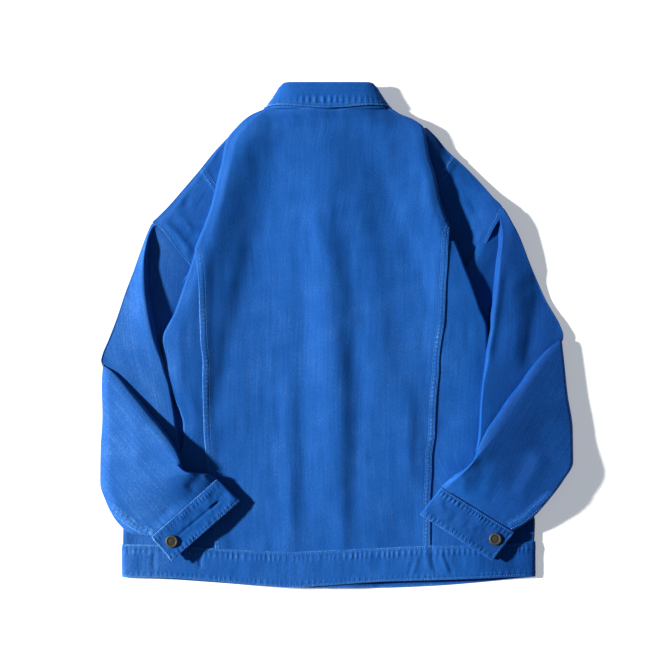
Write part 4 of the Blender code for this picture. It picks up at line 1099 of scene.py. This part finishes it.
def collar_profile(r):
    """Across the collar: up the stand, over the roll, down the fall. deep is along the fall."""
    up, out, deep = [], [], []
    roll, fall = r["roll"], r["fall"]
    for share in np.linspace(0, 0.92, 14):
        up.append(0.3 + share * COLLAR_STAND + 0 * roll)
        out.append(0.3 * np.sin(math.pi * share) + 0 * roll)
        deep.append(0 * roll - 8)
    for turn in np.linspace(0.1, 0.9, 9):
        angle = math.pi * turn
        up.append(COLLAR_STAND * 0.94 + 0.45 * roll * np.sin(angle))
        out.append(roll * (0.5 - 0.5 * np.cos(angle)))
        deep.append(0 * roll - 1)
    settle_by = (roll - FOLDED - 0.5) * 0.7 * np.where(r["face_z"] > 0, 1, 0.4)
    for share in np.linspace(0.0, 1.0, 26):
        up.append(COLLAR_STAND * 0.94 - fall * share)
        out.append(roll - settle_by * share)
        deep.append(fall * share)
    return np.hstack(up), np.hstack(out), np.hstack(deep)


# Fronts

NECK_COLUMNS = ("y", "inner")
FRONT_NECK = ((-296, 17), (223, 17), (226, -6), (234, -25), (246, -44), (264, -60), (284, -71),
              (296, -77))
LIFT_HALF_WIDTH, LIFT_SLOPE, BUTTON_LIFT = 34.0, 22.0, 2.8
FRONT_STEP = 5.0


def front(side, name, node, rise):
    """A front panel, flat on the surface and lifted over its buttons."""
    y = np.arange(PANEL_END_Y, 296.1, FRONT_STEP)
    inner = CENTRE_X - side * along_table(FRONT_NECK, NECK_COLUMNS, "y", y)["inner"]
    floor = along_table(LEFT_FLOOR if side < 0 else RIGHT_FLOOR, FLOOR_COLUMNS, "y", y)
    roll = roll_at(side, y)
    outer = np.where(y < -225, roll["x"], np.where(y > 262, roll["x"], floor["out_x"]))
    share = np.linspace(0, 1, 60)[None, :]
    x = outer[:, None] + (inner - outer)[:, None] * share
    down = ease((np.abs(x - CENTRE_X) - LIFT_HALF_WIDTH) / LIFT_SLOPE)
    over = np.clip(1 - (side * (x - CENTRE_X) - 20) / 14, 0, 1)
    z = BUTTON_LIFT * (1 - down) + rise * over + CLOTH
    y_all = meet_ends(x, y[:, None] + 0 * x) + 2.4 * ease((HEM_FADE_Y - y[:, None]) / 60)
    grid = np.stack([x, y_all, z], axis=2)[:, ::-side]
    return settle(make(name, [shell(grid, CLOTH)], denim), [node])


# Buttons

# Radius, height and how light the metal is: the raised rim is rubbed brass with a painted glint.
BUTTON_PROFILE = (
    (0.0, 2.10, 0.5), (1.6, 2.12, 0.5), (3.2, 2.10, 0.4), (4.2, 1.85, 0.2), (5.0, 1.85, 0.2),
    (5.6, 2.05, 0.4), (6.2, 2.30, 0.7), (6.9, 2.45, 0.9), (7.6, 2.36, 0.8), (8.1, 2.05, 0.5),
    (8.5, 1.60, 0.3), (8.7, 1.00, 0.2), (8.5, 0.45, 0.1), (8.0, 0.05, 0.0), (0.0, 0.0, 0.0),
)


BUTTON_TURNS, BEADS, BEAD_RADIUS, BEAD_HEIGHT = 64, 16, 4.6, 0.10
FRONT_BUTTON_Z, FRONT_BUTTON_YS = 2.5, (-318, -218, -118, -18, 82, 182)


def button(name, node, x, y, z, face):
    """A metal cap with a raised rim and a ring of beads. face is 1 up and -1 down."""
    angle = np.linspace(0, 2 * math.pi, BUTTON_TURNS, endpoint=False)[None, :]
    radius, height, wear_and_painted_light = (np.array(column)[:, None] for column in zip(*BUTTON_PROFILE))
    beads = BEAD_HEIGHT * near(radius - BEAD_RADIUS, 0.5) * np.cos(BEADS * angle)
    points = np.stack([x + radius * np.cos(angle), y + radius * np.sin(angle),
                       z + face * (height + beads)], 2)
    rings = points[1:-1].reshape(-1, 3)
    index = np.arange(len(rings)).reshape(-1, BUTTON_TURNS)
    right = np.roll(index, -1, axis=1)
    faces = np.stack([index[:-1], index[1:], right[1:], right[:-1]], -1).reshape(-1, 4).tolist()
    top, under = len(rings), len(rings) + 1
    faces += [[top, a, b] for a, b in zip(index[0], right[0])]
    faces += [[under, b, a] for a, b in zip(index[-1], right[-1])]
    if face < 0:
        faces = [corners[::-1] for corners in faces]
    rings = np.concatenate([rings, [[x, y, points[0, 0, 2]], [x, y, z]]])
    mesh = bpy.data.meshes.new(name)
    mesh.from_pydata((rings * MM).tolist(), [], faces)
    all_wear = np.append(np.repeat(wear_and_painted_light[1:-1, 0], BUTTON_TURNS), [0, 0])
    mesh.attributes.new("wear_and_painted_light", "FLOAT", "POINT").data.foreach_set("value", all_wear)
    mesh.materials.append(button_metal)
    mesh.shade_smooth()
    mesh.set_sharp_from_angle(angle=math.radians(60))
    return settle(link(name, mesh), [node])


# Stitches

def surface_tree(pieces):
    """The pieces' faces as one tree for rays, in millimetres."""
    points, faces = [], []
    for piece in pieces:
        mesh = piece.data
        co = np.zeros(len(mesh.vertices) * 3)
        mesh.vertices.foreach_get("co", co)
        start = len(points)
        points += [Vector(p) for p in co.reshape(-1, 3) / MM]
        faces += [[start + v for v in face.vertices] for face in mesh.polygons]
    return BVHTree.FromPolygons(points, faces)


def lay_stitches(tree, lines, seed):
    """Short threads along plan lines, laid on the surface that is seen from above."""
    rng = np.random.default_rng(seed)
    starts, ends, ups = [], [], []
    for points in lines:
        line = smooth_line(points, 2.0)
        lengths = path_lengths(line)
        for s in np.arange(1.0, lengths[-1] - STITCH, STITCH_PITCH):
            s = s + rng.uniform(-STITCH_WANDER, STITCH_WANDER)
            pair = []
            for at in (s, s + STITCH):
                x, y = (np.interp(at, lengths, line[:, k]) for k in (0, 1))
                hit, normal, _, _ = tree.ray_cast(Vector((x, y, 90.0)), Vector((0, 0, -1)))
                if hit is not None:
                    pair.append((np.array(hit), np.array(normal)))
            if len(pair) == 2 and abs(pair[0][0][2] - pair[1][0][2]) < STITCH_STEP:
                starts.append(pair[0][0])
                ends.append(pair[1][0])
                ups.append(pair[0][1] + pair[1][1])
    starts, ends, ups = (np.array(v) for v in (starts, ends, ups))
    return capsules(starts, ends, ups / np.linalg.norm(ups, axis=1, keepdims=True))


def capsules(starts, ends, ups):
    """Bulged threads between pairs of points, their ends sunk into the cloth."""
    along = ends - starts
    along /= np.linalg.norm(along, axis=1, keepdims=True)
    side = np.cross(along, ups)
    side /= np.linalg.norm(side, axis=1, keepdims=True)
    shares = np.array((0.0, 0.12, 0.35, 0.65, 0.88, 1.0))
    bulge = np.array((0.35, 0.85, 1.0, 1.0, 0.85, 0.35)) * THREAD / 2
    lift = np.array((-0.30, 0.10, 0.26, 0.26, 0.10, -0.30))
    angle = np.linspace(0, 2 * math.pi, 6, endpoint=False)
    centre = starts[:, None] + (ends - starts)[:, None] * shares[None, :, None]
    centre = centre + ups[:, None] * lift[None, :, None]
    ring = (side[:, None, None] * np.cos(angle)[None, None, :, None]
            + ups[:, None, None] * np.sin(angle)[None, None, :, None])
    points = centre[:, :, None] + ring * bulge[None, :, None, None]
    count, steps, turns = points.shape[:3]
    index = np.arange(steps * turns).reshape(steps, turns)
    right = np.roll(index, -1, axis=1)
    sides = np.stack([index[:-1], right[:-1], right[1:], index[1:]], -1).reshape(-1, 4)
    caps = [index[0, (0, 1, 2, 3)], index[0, (0, 3, 4, 5)],
            index[-1, (3, 2, 1, 0)], index[-1, (5, 4, 3, 0)]]
    one = np.concatenate([sides, np.array(caps)])
    faces = (one[None] + (np.arange(count) * steps * turns)[:, None, None]).reshape(-1, 4)
    flat = points.reshape(-1, 3)
    return {"points": flat, "faces": faces, "wear_and_painted_light": np.zeros(len(flat)),
            "places": flat[:, :2]}


def offset_line(points, by):
    """A plan line moved sideways, to its left where positive."""
    line = smooth_line(points, 4.0)
    step = np.gradient(line, axis=0)
    step /= np.linalg.norm(step, axis=1, keepdims=True)
    return line + by * np.stack([-step[:, 1], step[:, 0]], -1)


def seam_lines(side):
    """The two stitch rows of a side seam, in plan, where the seam shows."""
    y = np.arange(-292.0, 150.0, 4.0)
    roll = roll_at(side, y)
    run = seam_run(roll)
    lines = []
    for inside in LAP_STITCHES:
        x, _ = over_roll(side, roll, (run + inside)[:, None])
        shows = (run + inside) > -2
        y_all = meet_ends(x[:, 0], y)
        lines.append(np.stack([x[shows, 0], y_all[shows]], -1))
    return lines


def cuff_lines(corners):
    """A cuff's stitch rows: along its seam, its free edge and its buttoned end."""
    c = {key: np.array(value, float) for key, value in zip(CUFF_COLUMNS, corners)}
    lines = []
    for row in CUFF_STITCHES:
        a = c["seam_outer"] + (c["free_outer"] - c["seam_outer"]) * (row / BAND_DEPTH)
        b = c["seam_inner"] + (c["free_inner"] - c["seam_inner"]) * (row / BAND_DEPTH)
        lines.append((a + (b - a) * 0.02, b + (a - b) * 0.03))
    a = c["seam_outer"] + (c["seam_inner"] - c["seam_outer"]) * END_STITCHES
    b = c["free_outer"] + (c["free_inner"] - c["free_outer"]) * END_STITCHES
    lines.append((a + (b - a) * 0.05, b + (a - b) * 0.05))
    return lines


def hem_lines():
    """The hem band's stitch rows on the back."""
    x = np.arange(-286, 266, 6.0)
    found = along_table(HEM_ROWS, HEM_COLUMNS, "x", x)
    depth = found["back_edge_y"] - found["seam_y"]
    return [np.stack([x, found["seam_y"] + depth * row / BAND_DEPTH], -1) for row in HEM_STITCHES]


def build():
    """Every piece of the jacket, with the cloth ones returned."""
    back = centre_back()
    sides = [side_back(-1, "side_back_left", "back_side_left"),
             side_back(1, "side_back_right", "back_side_right")]
    fronts = [front(-1, "front_panel_left", "front_left", 0.0),
              front(1, "front_panel_right", "front_right", CLOTH + SEAM_GAP)]
    band = hem_band()
    neck = collar()
    sleeves = [sleeve(-1, "sleeve_cloth_left", "sleeve_left"),
               sleeve(1, "sleeve_cloth_right", "sleeve_right")]
    cuffs = [cuff(-1, "cuff_cloth_left", "cuff_left"), cuff(1, "cuff_cloth_right", "cuff_right")]
    for corners, name, node in ((LEFT_CUFF, "cuff_cap_left", "cuff_button_left"),
                                (RIGHT_CUFF, "cuff_cap_right", "cuff_button_right")):
        x, y = corners[-1]
        z = CUFF_BASE + CUFF_TOP + FOLDED / 2 + SEAM_GAP - cuff_drop(corners, x)
        button(name, node, x, y, z, 1)
    for number, y in enumerate(FRONT_BUTTON_YS, 1):
        button("front_cap_%d" % number, "front_button_%d" % number, CENTRE_X, y, FRONT_BUTTON_Z, -1)
    groups = (
        ("stitches_back", [back, *sides], seam_lines(-1) + seam_lines(1)),
        ("stitches_hem", [band], hem_lines()),
        ("stitches_cuff_left", [cuffs[0]], cuff_lines(LEFT_CUFF)),
        ("stitches_cuff_right", [cuffs[1]], cuff_lines(RIGHT_CUFF)),
        ("stitches_armhole", sides, [offset_line(ARMHOLES[-1], 3.0), offset_line(ARMHOLES[1], -3.0),
                                     offset_line(SHOULDER_SEAMS[-1], 1.5),
                                     offset_line(SHOULDER_SEAMS[-1], 6.5),
                                     offset_line(SHOULDER_SEAMS[1], 1.5)]),
        ("stitches_sleeve", sleeves, [offset_line(FELLED_SEAMS[k], by)
                                      for k in (-1, 1) for by in FELL_STITCHES]),
        ("stitches_collar", [neck], [COLLAR_STITCHES]),
    )
    for number, (name, pieces, lines) in enumerate(groups):
        made = make(name, [lay_stitches(surface_tree(pieces), lines, 100 + number)], thread)
        settle(made)
    return back, sides, fronts, band, neck, sleeves, cuffs


back, sides, fronts, band, neck, sleeves, cuffs = build()

for piece, cloth in zip(sleeves, ("front_left", "front_right")):
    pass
for piece in cuffs:
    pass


# Floor, light and camera

FLOOR_REACH = 9.0           # metres, from the middle to an edge


def floor():
    """The white surface under the jacket."""
    mesh = bpy.data.meshes.new("floor")
    signs = ((-1, -1), (1, -1), (1, 1), (-1, 1))
    mesh.from_pydata([(FLOOR_REACH * i, FLOOR_REACH * j, 0) for i, j in signs], [], [(0, 1, 2, 3)])
    made, tree, shader = start_material("floor")
    shader.inputs["Base Color"].default_value = (FLOOR_COLOUR, FLOOR_COLOUR, FLOOR_COLOUR, 1)
    shader.inputs["Roughness"].default_value = 0.9
    shader.inputs["Specular IOR Level"].default_value = 0.0
    shader.inputs["Emission Color"].default_value = (0.96, 0.95, 1.0, 1)
    shader.inputs["Emission Strength"].default_value = FLOOR_GLOW
    mesh.materials.append(made)
    link("floor", mesh)


def light_and_camera():
    scene = bpy.context.scene
    sun = bpy.data.lights.new("sun", "SUN")
    sun.energy, sun.angle = SUN_STRENGTH, math.radians(SUN_SIZE)
    sun.color = SUN_COLOUR
    lamp = bpy.data.objects.new("sun", sun)
    heading, height = math.radians(SUN_HEADING), math.radians(SUN_HEIGHT)
    towards = Vector((math.cos(heading) * math.cos(height), math.sin(heading) * math.cos(height),
                      math.sin(height)))
    lamp.rotation_euler = towards.to_track_quat("Z", "Y").to_euler()
    scene.collection.objects.link(lamp)
    world = bpy.data.worlds.new("sky")
    world.use_nodes = True
    sky = world.node_tree.nodes["Background"]
    sky.inputs["Color"].default_value = (*SKY_COLOUR, 1)
    sky.inputs["Strength"].default_value = SKY_STRENGTH
    scene.world = world
    camera = bpy.data.cameras.new("camera")
    camera.sensor_width = SENSOR
    camera.lens = SENSOR * CAMERA_PLACE[2] / (VIEW_PIXELS * PIXEL)
    camera.clip_end = 100.0
    eye = bpy.data.objects.new("camera", camera)
    eye.location = [MM * c for c in CAMERA_PLACE]
    scene.collection.objects.link(eye)
    scene.camera = eye
    scene.view_settings.view_transform = "Standard"


floor()
light_and_camera()
